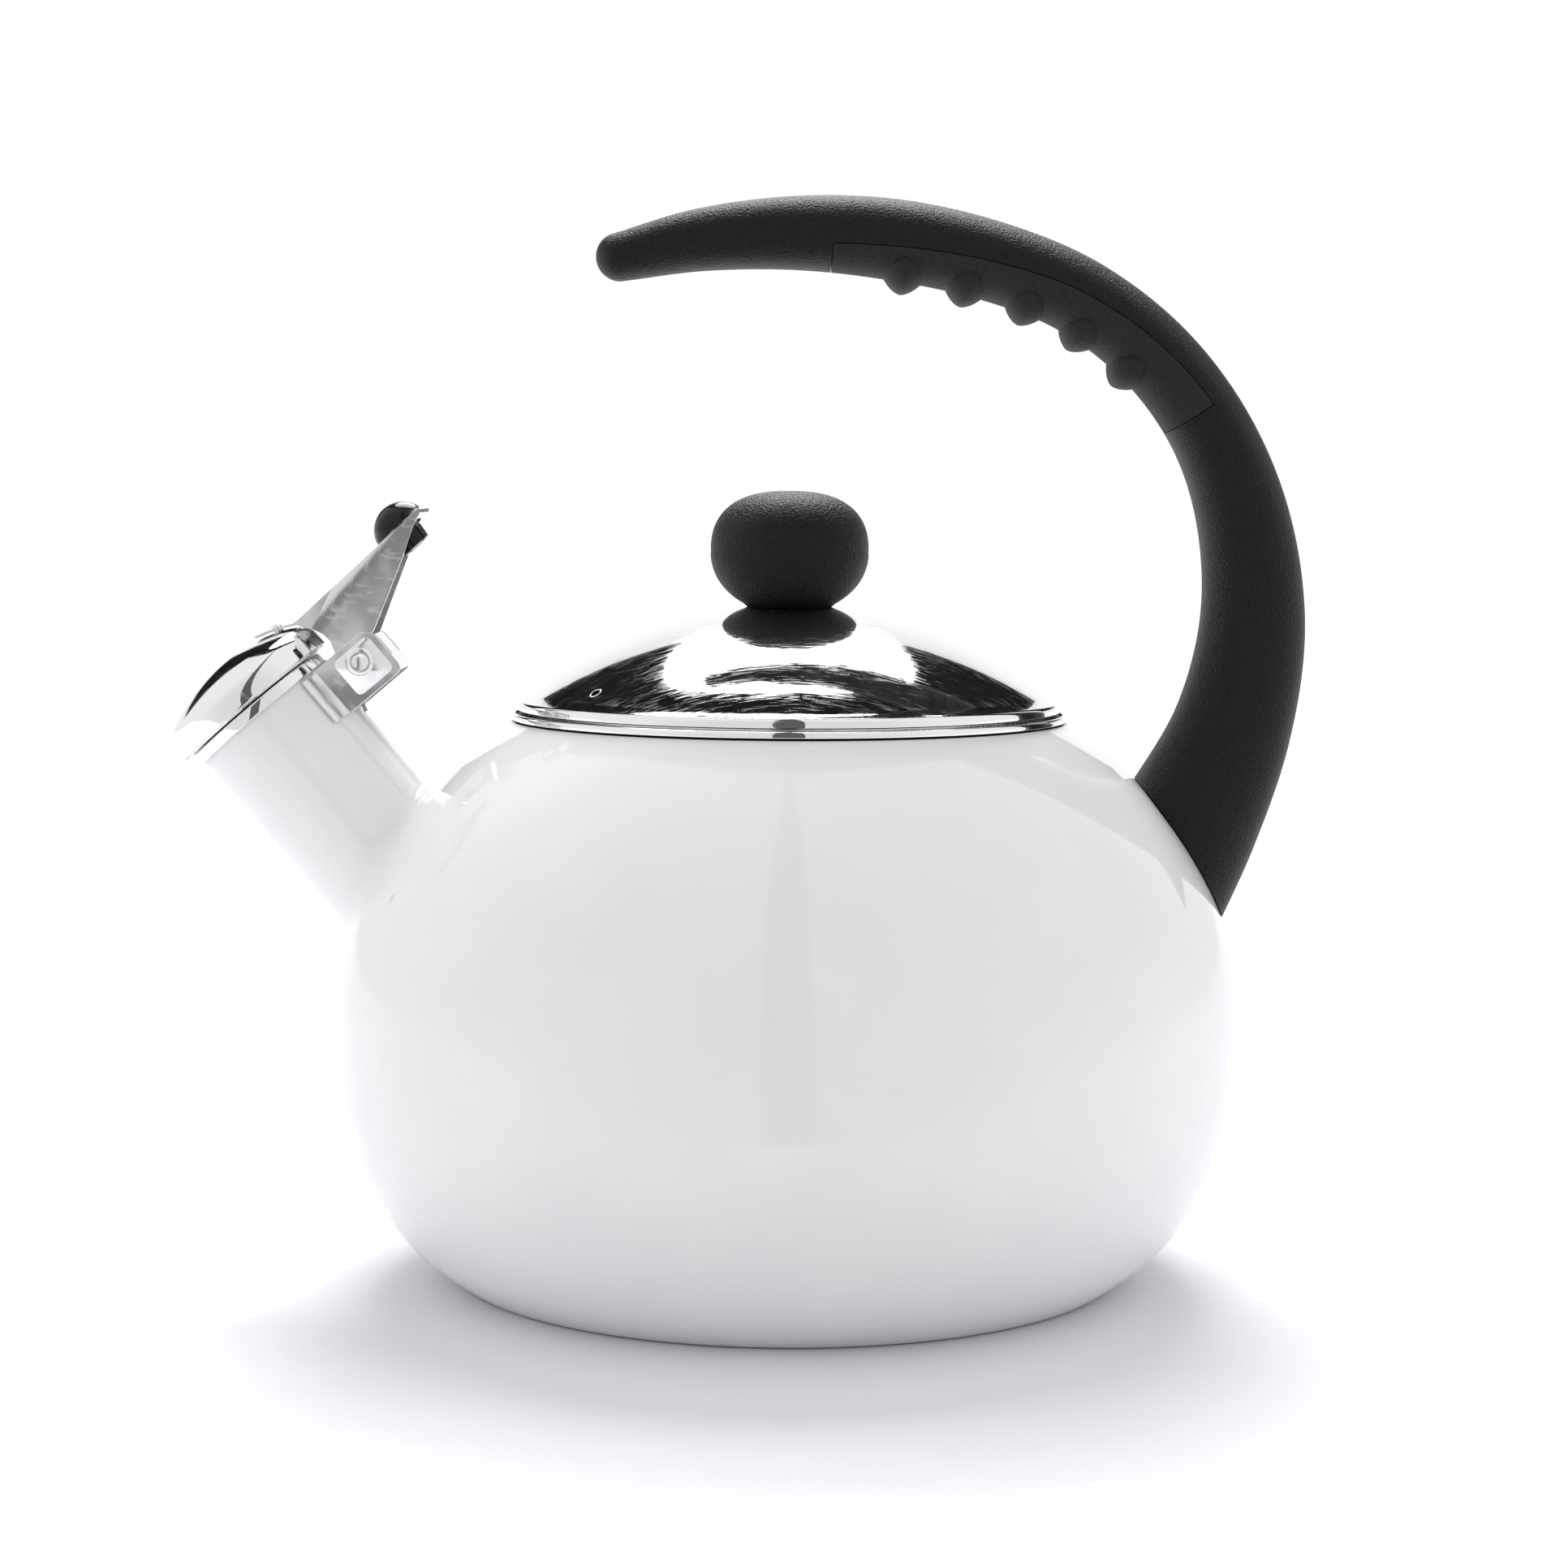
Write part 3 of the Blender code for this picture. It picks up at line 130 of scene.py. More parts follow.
def make_tent():
    """The tent as the light from each direction; across and back are measured on its ceiling."""
    world = bpy.data.worlds.new("light_tent")
    scene.world = world
    world.use_nodes = True
    tree = world.node_tree
    tree.nodes.clear()

    def maths(operation, *values):
        return add_node(tree, "ShaderNodeMath", {"operation": operation}, dict(enumerate(values)))

    def choose(factor, otherwise, chosen):
        values = {"Factor": factor, "A": otherwise, "B": chosen}
        return add_node(tree, "ShaderNodeMix", {"data_type": "FLOAT"}, values)

    def fade(low, high, start, end):
        """A soft step along y, from the camera's side to the back."""
        values = {"Value": y, "From Min": low, "From Max": high, "To Min": start, "To Max": end}
        return add_node(tree, "ShaderNodeMapRange", {"interpolation_type": "SMOOTHSTEP"}, values)

    way = add_node(tree, "ShaderNodeTexCoord").outputs["Generated"]
    x, y, z = add_node(tree, "ShaderNodeSeparateXYZ", {}, {"Vector": way}).outputs
    lifted = maths("MAXIMUM", z, LOWEST_RISE)
    across = maths("DIVIDE", x, lifted)
    back = maths("DIVIDE", y, lifted)
    side = maths("ABSOLUTE", across)
    squared = maths("MULTIPLY", across, across)

    # The overhead softbox: round at the front, longer towards the back.
    ahead = maths("SUBTRACT", back, SOFTBOX_BACK)
    near = maths("LESS_THAN", ahead, 0.0)
    up = maths("DIVIDE", ahead, choose(near, SOFTBOX_FAR_DEPTH, SOFTBOX_NEAR_DEPTH))
    over = maths("DIVIDE", across, SOFTBOX_HALF_WIDTH)
    place = add_node(tree, "ShaderNodeCombineXYZ", {}, {"X": over, "Y": up, "Z": 0.0})
    reach = add_node(tree, "ShaderNodeVectorMath", {"operation": "LENGTH"}, {0: place})
    in_softbox = maths("LESS_THAN", reach.outputs["Value"], 1.0)

    # The backdrop's top edge sags to both sides, and its sides stand 22.5 degrees off centre.
    sag = maths("MULTIPLY_ADD", squared, BACKDROP_SAG, BACKDROP_TOP)
    under_edge = maths("LESS_THAN", sag, back)
    between = maths("LESS_THAN", side, maths("MULTIPLY", back, BACKDROP_SPREAD))
    on_backdrop = maths("MULTIPLY", under_edge, between)

    # The banks part above the kettle and leave the dark frame in view behind their edges.
    curve = maths("MULTIPLY_ADD", squared, RIDGE_CURVE, RIDGE_START)
    straight = maths("MULTIPLY_ADD", side, RIDGE_OUTER_SLOPE, RIDGE_OUTER_START)
    parted = maths("LESS_THAN", maths("MINIMUM", curve, straight), back)
    opening = maths("MULTIPLY", parted, maths("GREATER_THAN", z, FRAME_RISE))
    unlit = maths("SUBTRACT", 1.0, maths("MAXIMUM", in_softbox, on_backdrop))
    in_frame = maths("MULTIPLY", opening, unlit)

    # The slit that the camera looks through.
    half_slit = maths("MULTIPLY_ADD", y, -SLIT_SPREAD, SLIT_HALF_WIDTH)
    in_slit = maths("LESS_THAN", maths("ABSOLUTE", x), half_slit)

    # The banks dim towards the camera, and the backdrop behind the kettle is the brightest.
    banks = fade(-0.95, -0.35, BANK_FRONT_LIGHT, BANK_LIGHT)
    behind = fade(0.85, 0.935, 0.0, BACKDROP_LIGHT - BANK_LIGHT)
    bright = choose(in_softbox, maths("ADD", banks, behind), SOFTBOX_LIGHT)
    framed = choose(in_frame, bright, FRAME_LIGHT)
    slotted = choose(in_slit, framed, GAP_LIGHT)
    light = add_node(
        tree, "ShaderNodeBackground", {}, {"Color": (1, 1, 1, 1), "Strength": slotted}
    )
    add_node(tree, "ShaderNodeOutputWorld", {}, {"Surface": light})


make_tent()


def new_material(name):
    """A material with one Principled shader; returns the material, its tree and the shader."""
    made = bpy.data.materials.new(name)
    made.use_nodes = True
    return made, made.node_tree, made.node_tree.nodes["Principled BSDF"]


def set_shader(shader, values):
    for name, value in values.items():
        shader.inputs[name].default_value = value


def tint_by(tree, shader, pattern, dark, light, low=0.0, high=1.0):
    """Runs the base colour from dark to light as a pattern goes from low to high."""
    tint = add_node(tree, "ShaderNodeValToRGB", {}, {"Fac": pattern})
    first, last = tint.color_ramp.elements
    first.position, last.position = low, high
    first.color, last.color = linear(dark), linear(light)
    tree.links.new(tint.outputs["Color"], shader.inputs["Base Color"])


# The floor is one sheet of matt white paper with a faint cool cast, cut off in front of the kettle
# so that the banks also light its underside.
FLOOR_RADIUS = 6000
FLOOR_FRONT = 235
FLOOR_GAP = 0.2


def paper():
    made, tree, shader = new_material("white_paper")
    set_shader(shader, {"Roughness": 0.85, "Specular IOR Level": 0.15})
    fibres = add_node(tree, "ShaderNodeTexNoise", {}, {"Scale": 400.0, "Detail": 3.0})
    tint_by(tree, shader, fibres, "#ebe9ef", "#eeecf2")
    return made


def make_floor():
    form = bmesh.new()
    bmesh.ops.create_circle(form, cap_ends=True, segments=64, radius=FLOOR_RADIUS * MM)
    bmesh.ops.bisect_plane(
        form,
        geom=form.verts[:] + form.edges[:] + form.faces[:],
        plane_co=(0, -FLOOR_FRONT * MM, 0),
        plane_no=(0, -1, 0),
        clear_outer=True,
    )
    mesh = bpy.data.meshes.new("floor")
    form.to_mesh(mesh)
    form.free()
    mesh.materials.append(paper())
    floor = bpy.data.objects.new("floor", mesh)
    scene.collection.objects.link(floor)
    floor.location.z = -FLOOR_GAP * MM


make_floor()

# ============================================================================ body
# The body is drawn from steel sheet 1.1 mm thick and coated inside and out with white vitreous
# enamel. The base disc is welded in, and the spout is welded over a hole in the shoulder.
BODY_RADIUS = 95
BELLY_HEIGHT = 53
BASE_RADIUS = 69.9
MOUTH_RADIUS = 58.0
MOUTH_HEIGHT = 116.2
LOWER_FULLNESS = 2.57
UPPER_FULLNESS = 1.96
BODY_WALL = 1.1
BASE_LIP = 1.4
SPOUT_ROOT_HEIGHT = 87.8
SPOUT_TILT = math.radians(49.5)
SPOUT_RADIUS = 16.3
SPOUT_WALL = 1.1
SLOPE_STEP = 0.1


def flank(height):
    """Outer radius of the body at a height: two superellipse flanks that meet at the belly."""
    if height < BELLY_HEIGHT:
        full = (1 - (BASE_RADIUS / BODY_RADIUS) ** LOWER_FULLNESS) ** (1 / LOWER_FULLNESS)
        share = min((BELLY_HEIGHT - height) / (BELLY_HEIGHT / full), 1)
        return BODY_RADIUS * (1 - share**LOWER_FULLNESS) ** (1 / LOWER_FULLNESS)
    full = (1 - (MOUTH_RADIUS / BODY_RADIUS) ** UPPER_FULLNESS) ** (1 / UPPER_FULLNESS)
    share = min((height - BELLY_HEIGHT) / ((MOUTH_HEIGHT - BELLY_HEIGHT) / full), 1)
    return BODY_RADIUS * (1 - share**UPPER_FULLNESS) ** (1 / UPPER_FULLNESS)


def flank_lean(height):
    """How fast the body's radius grows with height."""
    high = min(height + SLOPE_STEP / 2, MOUTH_HEIGHT)
    return (flank(high) - flank(high - SLOPE_STEP)) / SLOPE_STEP


def flank_points(low, count, offset=0.0):
    """Points up the flank from a height to the mouth, moved out along the normal by an offset."""
    found = []
    for index in range(count + 1):
        height = low + (MOUTH_HEIGHT - low) * index / count
        lean = flank_lean(height)
        length = math.hypot(1, lean)
        found.append((flank(height) + offset / length, height - offset * lean / length))
    return found


def turned(section, segments):
    """A section of (radius, height) points turned about Z; a closed section gives a closed ring."""
    form = bmesh.new()
    on_axis = section[0][0] == 0 and section[-1][0] == 0
    rows = []
    for radius, height in section:
        if radius == 0:
            rows.append([form.verts.new((0, 0, height))] * segments)
            continue
        angles = [2 * math.pi * step / segments for step in range(segments)]
        ring = [(radius * math.cos(angle), radius * math.sin(angle), height) for angle in angles]
        rows.append([form.verts.new(point) for point in ring])
    pairs = list(zip(rows, rows[1:]))
    if not on_axis:
        pairs.append((rows[-1], rows[0]))
    for low, high in pairs:
        for step in range(segments):
            after = (step + 1) % segments
            corners = []
            for vert in (low[step], low[after], high[after], high[step]):
                if vert not in corners:
                    corners.append(vert)
            if len(corners) > 2:
                form.faces.new(corners)
    return form


def rounded(points, radius, steps=4, closed=True):
    """An outline with each corner turned into a short arc, as far as its sides leave room."""
    found = []
    count = len(points)
    for index in range(count):
        here = Vector(points[index])
        if not closed and index in (0, count - 1):
            found.append(tuple(here))
            continue
        before = Vector(points[index - 1])
        after = Vector(points[(index + 1) % count])
        back_way = before - here
        on_way = after - here
        cut = min(radius, back_way.length * 0.45, on_way.length * 0.45)
        start = here + back_way.normalized() * cut
        end = here + on_way.normalized() * cut
        for step in range(steps + 1):
            t = step / steps
            found.append(tuple(start * (1 - t) ** 2 + here * 2 * t * (1 - t) + end * t**2))
    return found


def make_piece(
    name, form, material, body, replaced=(), place=None, sharp=35, cutters=()
):
    """A shown piece from a form in mm: placed, shaded, cut, given its material and its body."""
    bmesh.ops.remove_doubles(form, verts=form.verts, dist=1e-5)
    bmesh.ops.recalc_face_normals(form, faces=form.faces)
    if form.calc_volume(signed=True) < 0:
        bmesh.ops.reverse_faces(form, faces=form.faces)
    form.transform(Matrix.Scale(MM, 4) @ (place or Matrix.Identity(4)))
    mesh = bpy.data.meshes.new(name)
    form.to_mesh(mesh)
    form.free()
    piece = bpy.data.objects.new(name, mesh)
    scene.collection.objects.link(piece)
    for cutter, operation in cutters:
        step = piece.modifiers.new(operation.title(), "BOOLEAN")
        step.object = cutter
        step.operation = operation
        step.solver = "EXACT"
    if cutters:
        bpy.context.view_layer.update()
        shaped = piece.evaluated_get(bpy.context.evaluated_depsgraph_get())
        piece.modifiers.clear()
        piece.data = bpy.data.meshes.new_from_object(shaped)
    piece.data.materials.clear()
    if material is not None:
        piece.data.materials.append(material)
    piece.data.shade_smooth()
    piece.data.set_sharp_from_angle(angle=math.radians(sharp))
    if body is not None:
        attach(piece, body)
        if replaced:
            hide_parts(*replaced)
    return piece


def make_cutter(name, form, place=None):
    """A shape that only cuts others; it is taken out of the scene once they are cut."""
    return make_piece(name, form, None, None, place=place)


def drop(*cutters):
    for cutter in cutters:
        bpy.data.objects.remove(cutter, do_unlink=True)


def dress(material, *names):
    """Gives CAD nodes whose shape is right their finish."""
    for name in names:
        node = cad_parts[name]
        node.data.materials.clear()
        node.data.materials.append(material)
        node.data.shade_smooth()
        node.data.set_sharp_from_angle(angle=math.radians(35))


def object_noise(tree, scale, detail):
    """Noise fixed to the piece; its features are about 1 / scale metres across."""
    place = add_node(tree, "ShaderNodeTexCoord").outputs["Object"]
    values = {"Vector": place, "Scale": scale, "Detail": detail}
    return add_node(tree, "ShaderNodeTexNoise", {}, values)


def emboss_by(tree, shader, height, strength, distance):
    """Bumps the surface by a pattern, as high as distance in metres."""
    values = {"Strength": strength, "Distance": distance, "Height": height}
    bump = add_node(tree, "ShaderNodeBump", {}, values)
    tree.links.new(first_output(bump), shader.inputs["Normal"])


# Vitreous enamel is white glass fired on to the steel: bright, hard and wet-looking, with the
# faint slow ripple that the melt leaves. The ripple is about 7 mm long and a few microns high.
def vitreous_enamel():
    made, tree, shader = new_material("vitreous_enamel")
    set_shader(shader, {"Roughness": 0.055, "IOR": 1.5})
    tint_by(tree, shader, object_noise(tree, 45.0, 4.0), "#eeeeee", "#f1f1f0", 0.3, 0.7)
    emboss_by(tree, shader, object_noise(tree, 140.0, 1.5), 0.06, 0.0004)
    return made


ENAMEL = vitreous_enamel()
SPOUT_ROOT = Vector((-flank(SPOUT_ROOT_HEIGHT), 0, SPOUT_ROOT_HEIGHT))
SPOUT_PLACE = Matrix.Translation(SPOUT_ROOT) @ Matrix.Rotation(SPOUT_TILT - math.pi / 2, 4, "Y")


def make_body():
    lip = BASE_RADIUS - BASE_LIP
    outer = flank_points(BASE_LIP, 84)
    inner = flank_points(2 * BASE_LIP, 60, -BODY_WALL)
    corner = rounded([(lip, 0), (BASE_RADIUS + 0.1, 0), outer[0]], 0.9, 6, closed=False)
    section = corner + outer[1:] + inner[::-1] + [(lip, BODY_WALL)]
    bore = SPOUT_RADIUS - SPOUT_WALL
    hole = make_cutter(
        "spout_hole",
        turned([(0, -16), (bore, -16), (bore, 16), (0, 16)], 96),
        SPOUT_PLACE,
    )
    make_piece(
        "enamel_body",
        turned(section, 192),
        ENAMEL,
        "kettle",
        ["body_shell"],
        cutters=[(hole, "DIFFERENCE")],
    )
    drop(hole)


make_body()
dress(ENAMEL, "base_pan")

# ============================================================================ spout
# The spout is a short straight tube of the same enamelled sheet. Its root is trimmed to the
# shoulder, and the enamel runs into a soft fillet over the weld.
SPOUT_LENGTH = 39.8
SPOUT_SIDES = 128
WELD_REACH = 3.6
WELD_SINK = 0.25


def root_height(angle, radius):
    """Height along the spout at which a line of its wall meets the body's outer face."""
    low, high = -30.0, 30.0
    for _ in range(50):
        middle = (low + high) / 2
        point = SPOUT_PLACE @ Vector((radius * math.cos(angle), radius * math.sin(angle), middle))
        if math.hypot(point.x, point.y) > flank(point.z):
            high = middle
        else:
            low = middle
    return high


def shoulder_point(angle, radius):
    """Where a line along the spout, at an angle and a radius from its axis, meets the body."""
    height = root_height(angle, radius)
    return SPOUT_PLACE @ Vector((radius * math.cos(angle), radius * math.sin(angle), height))


def joined(columns):
    """A closed form whose neighbouring columns of points are joined all the way round."""
    form = bmesh.new()
    columns = [[form.verts.new(point) for point in column] for column in columns]
    for turn, column in enumerate(columns):
        after = columns[(turn + 1) % len(columns)]
        for row in range(len(column)):
            up = (row + 1) % len(column)
            form.faces.new((column[row], after[row], after[up], column[up]))
    return form


def make_spout():
    steps = 12
    columns = []
    for turn in range(SPOUT_SIDES):
        angle = 2 * math.pi * turn / SPOUT_SIDES
        c, s = math.cos(angle), math.sin(angle)
        column = []
        for radius, sink in ((SPOUT_RADIUS, 0.25), (SPOUT_RADIUS - SPOUT_WALL, 0.7)):
            low = root_height(angle, radius) - sink
            heights = [low + (SPOUT_LENGTH - low) * step / steps for step in range(steps + 1)]
            wall = [(radius * c, radius * s, height) for height in heights]
            column += wall[::-1] if column else wall
        columns.append(column)
    make_piece(
        "spout", joined(columns), ENAMEL, "kettle", ["spout_tube"], SPOUT_PLACE
    )


def make_weld():
    """The fillet of enamel round the spout's root; its hidden side sinks into both walls."""
    steps = 7
    turn_out = SPOUT_PLACE.to_3x3()
    columns = []
    for turn in range(SPOUT_SIDES):
        angle = 2 * math.pi * turn / SPOUT_SIDES
        corner = shoulder_point(angle, SPOUT_RADIUS)
        on_tube = corner + turn_out @ Vector((0, 0, WELD_REACH))
        on_shell = shoulder_point(angle, SPOUT_RADIUS + WELD_REACH)
        column = []
        for step in range(steps + 1):
            t = step / steps
            column.append(on_tube * (1 - t) ** 2 + corner * 2 * t * (1 - t) + on_shell * t**2)
        inward = turn_out @ Vector((math.cos(angle), math.sin(angle), 1)) * -WELD_SINK
        column += [on_shell + inward, corner + inward, on_tube + inward]
        columns.append(column)
    make_piece("spout_weld", joined(columns), ENAMEL, "kettle", sharp=60)


make_spout()
make_weld()

# ============================================================================ mouth trim ring
# A band of thin stainless steel is rolled over the raw edge of the mouth and guides the lid's
# collar. It is polished, with fine hoop lines from the roller.
SEAM = 0.3
RIM_BAND = 1.5
RIM_DEPTH = 6.7
RIM_WIDTH = 3.6
RIM_SHEET = 0.7
RIM_BORE = MOUTH_RADIUS - RIM_WIDTH


def roughen_by(tree, shader, pattern, low, high):
    values = {"Value": pattern, "To Min": low, "To Max": high}
    rough = add_node(tree, "ShaderNodeMapRange", {}, values)
    tree.links.new(first_output(rough), shader.inputs["Roughness"])


# Polished stainless steel 18/10 is a grey mirror. Buffing leaves hairlines about 0.15 mm wide that
# catch the light in dark reflections, here on two crossing slants. Pressed sheet also keeps waves
# about 9 mm long.
def polished_stainless(name, roughness, hairlines, waviness):
    made, tree, shader = new_material(name)
    set_shader(shader, {"Metallic": 1.0})
    place = add_node(tree, "ShaderNodeTexCoord").outputs["Object"]
    lines = []
    for slant in (math.radians(35), math.radians(-20)):
        values = {
            "Vector": place,
            "Rotation": (slant * 0.4, slant, slant),
            "Scale": (25.0, 900.0, 25.0),
        }
        drawn_out = add_node(tree, "ShaderNodeMapping", {}, values)
        values = {"Vector": drawn_out, "Scale": 7.0, "Detail": 3.0}
        streaks = add_node(tree, "ShaderNodeTexNoise", {}, values)
        values = {"Value": streaks, "From Min": 0.58, "From Max": 0.74}
        lines.append(add_node(tree, "ShaderNodeMapRange", {}, values))
    both = add_node(tree, "ShaderNodeMath", {"operation": "MAXIMUM"}, {0: lines[0], 1: lines[1]})
    roughen_by(tree, shader, both, roughness, roughness + hairlines)
    tint_by(tree, shader, object_noise(tree, 60.0, 3.0), "#ebebea", "#f3f3f3")
    values = {"Strength": 1.0, "Distance": waviness, "Height": object_noise(tree, 110.0, 1.0)}
    rolling = add_node(tree, "ShaderNodeBump", {}, values)
    values = {"Strength": 0.08, "Distance": 0.00002, "Height": both, "Normal": rolling}
    bump = add_node(tree, "ShaderNodeBump", {}, values)
    tree.links.new(first_output(bump), shader.inputs["Normal"])
    return made


MIRROR_STEEL = polished_stainless("mirror_polished_stainless", 0.03, 0.22, 0.0)
SHEET_STEEL = polished_stainless("polished_stainless_sheet", 0.2, 0.14, 0.0002)


# Turned, drawn and rolled metal keep faint bands from the tool.
def plain_metal(name, dark, light, roughness):
    made, tree, shader = new_material(name)
    set_shader(shader, {"Metallic": 1.0})
    place = add_node(tree, "ShaderNodeTexCoord").outputs["Object"]
    values = {"Vector": place, "Scale": 900.0, "Distortion": 2.0}
    bands = add_node(tree, "ShaderNodeTexWave", {"bands_direction": "Z"}, values).outputs["Fac"]
    tint_by(tree, shader, bands, dark, light)
    roughen_by(tree, shader, bands, roughness, roughness + 0.12)
    return made


# Inside the gap between lid and trim the steel is painted dull and dark: painted shade for the
# shadow that fills the gap.
GAP_SHADE_STEEL = plain_metal("painted_gap_shade_steel", "#27282a", "#3a3b3d", 0.4)


def paint_gap_shade(piece, chosen):
    """Gives the faces picked by a test of their radius, height and upward lean the dark steel of
    painted shade.
    """
    piece.data.materials.append(GAP_SHADE_STEEL)
    for face in piece.data.polygons:
        radius = math.hypot(face.center.x, face.center.y) / MM
        if chosen(radius, face.center.z / MM, face.normal.z):
            face.material_index = 1


def make_mouth_ring():
    low = MOUTH_HEIGHT + SEAM
    top = low + RIM_BAND
    outer = MOUTH_RADIUS + 0.35
    bead = outer - 1.15
    ledge = top - 0.9
    section = [(outer - 0.1, low), (outer, (low + top) / 2), (outer - 0.3, top), (bead, top)]
    section += [(bead - 0.1, ledge), (RIM_BORE, ledge)]
    outside = RIM_BORE + RIM_SHEET
    section += [(RIM_BORE, top - RIM_DEPTH), (outside, top - RIM_DEPTH), (outside, low)]
    ring = make_piece(
        "mouth_trim",
        turned(rounded(section, 0.45), 192),
        MIRROR_STEEL,
        "kettle",
        ["mouth_trim_ring"],
    )
    # The faces inside the bead and those facing down take the painted shade of the gap.
    paint_gap_shade(ring, lambda radius, height, lean: radius < bead or lean < -0.5)


make_mouth_ring()

# ============================================================================ lid
# The lid is one spun dome of mirror-polished stainless with its rim curled under, a small steam
# hole with a thin lip, and a straight collar spot-welded inside.
LID_BASE = MOUTH_HEIGHT + 2.2 * SEAM + RIM_BAND
LID_EDGE_RADIUS = MOUTH_RADIUS - 1.1
LID_DOME_RADIUS = 88.5
LID_EDGE = 1.3
LID_SHEET = 0.8
COLLAR_DEPTH = 8.5
KNOB_BORE = 2.1
VENT_RADIUS = 1.0
VENT_AZIMUTH = math.radians(221.4)


def dome_height(radius, sheet=0.0):
    base = LID_BASE + LID_EDGE - math.sqrt(LID_DOME_RADIUS**2 - LID_EDGE_RADIUS**2)
    return base + math.sqrt((LID_DOME_RADIUS - sheet) ** 2 - radius**2)


def make_lid():
    edge = LID_EDGE_RADIUS
    steps = 48
    outer = []
    inner = []
    for step in range(steps + 1):
        radius = KNOB_BORE + (edge - 1.5 - KNOB_BORE) * step / steps
        outer.append((radius, dome_height(radius)))
        radius = KNOB_BORE + (edge - 2.4 - KNOB_BORE) * step / steps
        inner.append((radius, dome_height(radius, LID_SHEET)))
    curl = [outer[-1], (edge - 0.1, LID_BASE + LID_EDGE + 0.5), (edge, LID_BASE)]
    curl += [(edge - 1.0, LID_BASE), inner[-1]]
    section = outer[:-1] + rounded(curl, 0.8, 6, closed=False) + inner[-2::-1]

    collar_outer = RIM_BORE - 0.5
    collar_inner = collar_outer - LID_SHEET
    vent_at = collar_inner - 1.5
    lean = math.asin(vent_at / LID_DOME_RADIUS)
    vent_place = (
        Matrix.Rotation(VENT_AZIMUTH, 4, "Z")
        @ Matrix.Translation((vent_at, 0, dome_height(vent_at)))
        @ Matrix.Rotation(lean, 4, "Y")
    )
    hole = make_cutter(
        "vent_hole",
        turned([(0, -4), (VENT_RADIUS, -4), (VENT_RADIUS, 4), (0, 4)], 32),
        vent_place,
    )
    shell = make_piece(
        "lid_shell",
        turned(section, 192),
        MIRROR_STEEL,
        "lid",
        ["lid_dome"],
        cutters=[(hole, "DIFFERENCE")],
    )
    drop(hole)
    # The underside of the curled rim takes the painted shade of the gap.
    paint_gap_shade(shell, lambda radius, height, lean: lean < -0.6 and height < LID_BASE + 0.3)
    lip = [(0, -0.1), (0.35, -0.1), (0.3, 0.05), (0.05, 0.08)]
    lip = rounded([(VENT_RADIUS + out, rise) for out, rise in lip], 0.2)
    make_piece(
        "vent_lip", turned(lip, 40), MIRROR_STEEL, "lid", place=vent_place
    )
    top = dome_height(collar_outer, LID_SHEET) - SEAM
    low = LID_BASE - COLLAR_DEPTH
    collar = [(collar_inner, low), (collar_outer, low), (collar_outer, top), (collar_inner, top)]
    collar = turned(rounded(collar, 0.35), 160)
    make_piece("collar", collar, SHEET_STEEL, "lid", ["lid_collar"])


make_lid()

# ============================================================================ lid knob
# The knob is compression moulded from black phenolic round a brass nut. The two halves of the
# mould leave a fine parting line at its widest.
KNOB_RADIUS = 16.55
KNOB_RISE = 12.9
KNOB_NECK_RADIUS = 9.8
KNOB_TOP_FULLNESS = 2.5
KNOB_FOOT_FULLNESS = 2.05
PARTING_DEPTH = 0.07
INSERT_RADIUS = 3.5
INSERT_LENGTH = 8.3
KNOB_REST = KNOB_NECK_RADIUS - 0.9


# A mould whose faces were spark-eroded leaves a dull even grain, about 0.5 mm across.
def spark_eroded(name, values, grain_scale, dark, light, smoothest, roughest, depth):
    made, tree, shader = new_material(name)
    set_shader(shader, {"IOR": 1.5, **values})
    grain = object_noise(tree, grain_scale, 1.5)
    tint_by(tree, shader, grain, dark, light, 0.35, 0.7)
    roughen_by(tree, shader, grain, smoothest, roughest)
    emboss_by(tree, shader, grain, 1.0, depth)
    return made


# Black phenolic, which leans to brown where light grazes it.
PHENOLIC = spark_eroded(
    "moulded_black_phenolic",
    {
        "Specular IOR Level": 0.24,
        "Sheen Weight": 0.02,
        "Sheen Roughness": 0.4,
        "Sheen Tint": linear("#c9b3a4"),
    },
    2100.0,
    "#030202",
    "#150f10",
    0.4,
    0.55,
    0.0004,
)


def make_knob():
    seat = dome_height(0) + SEAM
    foot_share = 1 - (KNOB_NECK_RADIUS / KNOB_RADIUS) ** KNOB_FOOT_FULLNESS
    foot_share **= 1 / KNOB_FOOT_FULLNESS
    middle = seat + KNOB_RISE * foot_share
    socket_top = seat + INSERT_LENGTH
    section = [(0, socket_top), (INSERT_RADIUS, socket_top), (INSERT_RADIUS, seat)]
    section += [(radius, dome_height(radius) + 0.05) for radius in (KNOB_REST - 1.2, KNOB_REST)]
    steps = 28
    for step in range(steps):
        share = foot_share * (1 - step / steps)
        radius = KNOB_RADIUS * (1 - share**KNOB_FOOT_FULLNESS) ** (1 / KNOB_FOOT_FULLNESS)
        section.append((radius, middle - KNOB_RISE * share))
    section.append((KNOB_RADIUS - PARTING_DEPTH, middle))
    power = 2 / KNOB_TOP_FULLNESS
    for step in range(1, steps):
        angle = math.pi / 2 * step / steps
        rise = KNOB_RISE * math.sin(angle) ** power
        section.append((KNOB_RADIUS * math.cos(angle) ** power, middle + rise))
    section.append((0, middle + KNOB_RISE))
    knob = turned(section, 128)
    make_piece("knob", knob, PHENOLIC, "lid", ["lid_knob"], sharp=60)


make_knob()


# ============================================================================ knob fasteners
# A brass nut moulded into the knob, and a steel screw with a grey silicone washer that seals its
# hole from inside. They show only when the lid is off.
def silicone_rubber():
    made, tree, shader = new_material("grey_silicone")
    set_shader(shader, {"IOR": 1.41})
    bloom = object_noise(tree, 500.0, 3.0)
    tint_by(tree, shader, bloom, "#8a8a8b", "#979798")
    roughen_by(tree, shader, bloom, 0.5, 0.7)
    return made


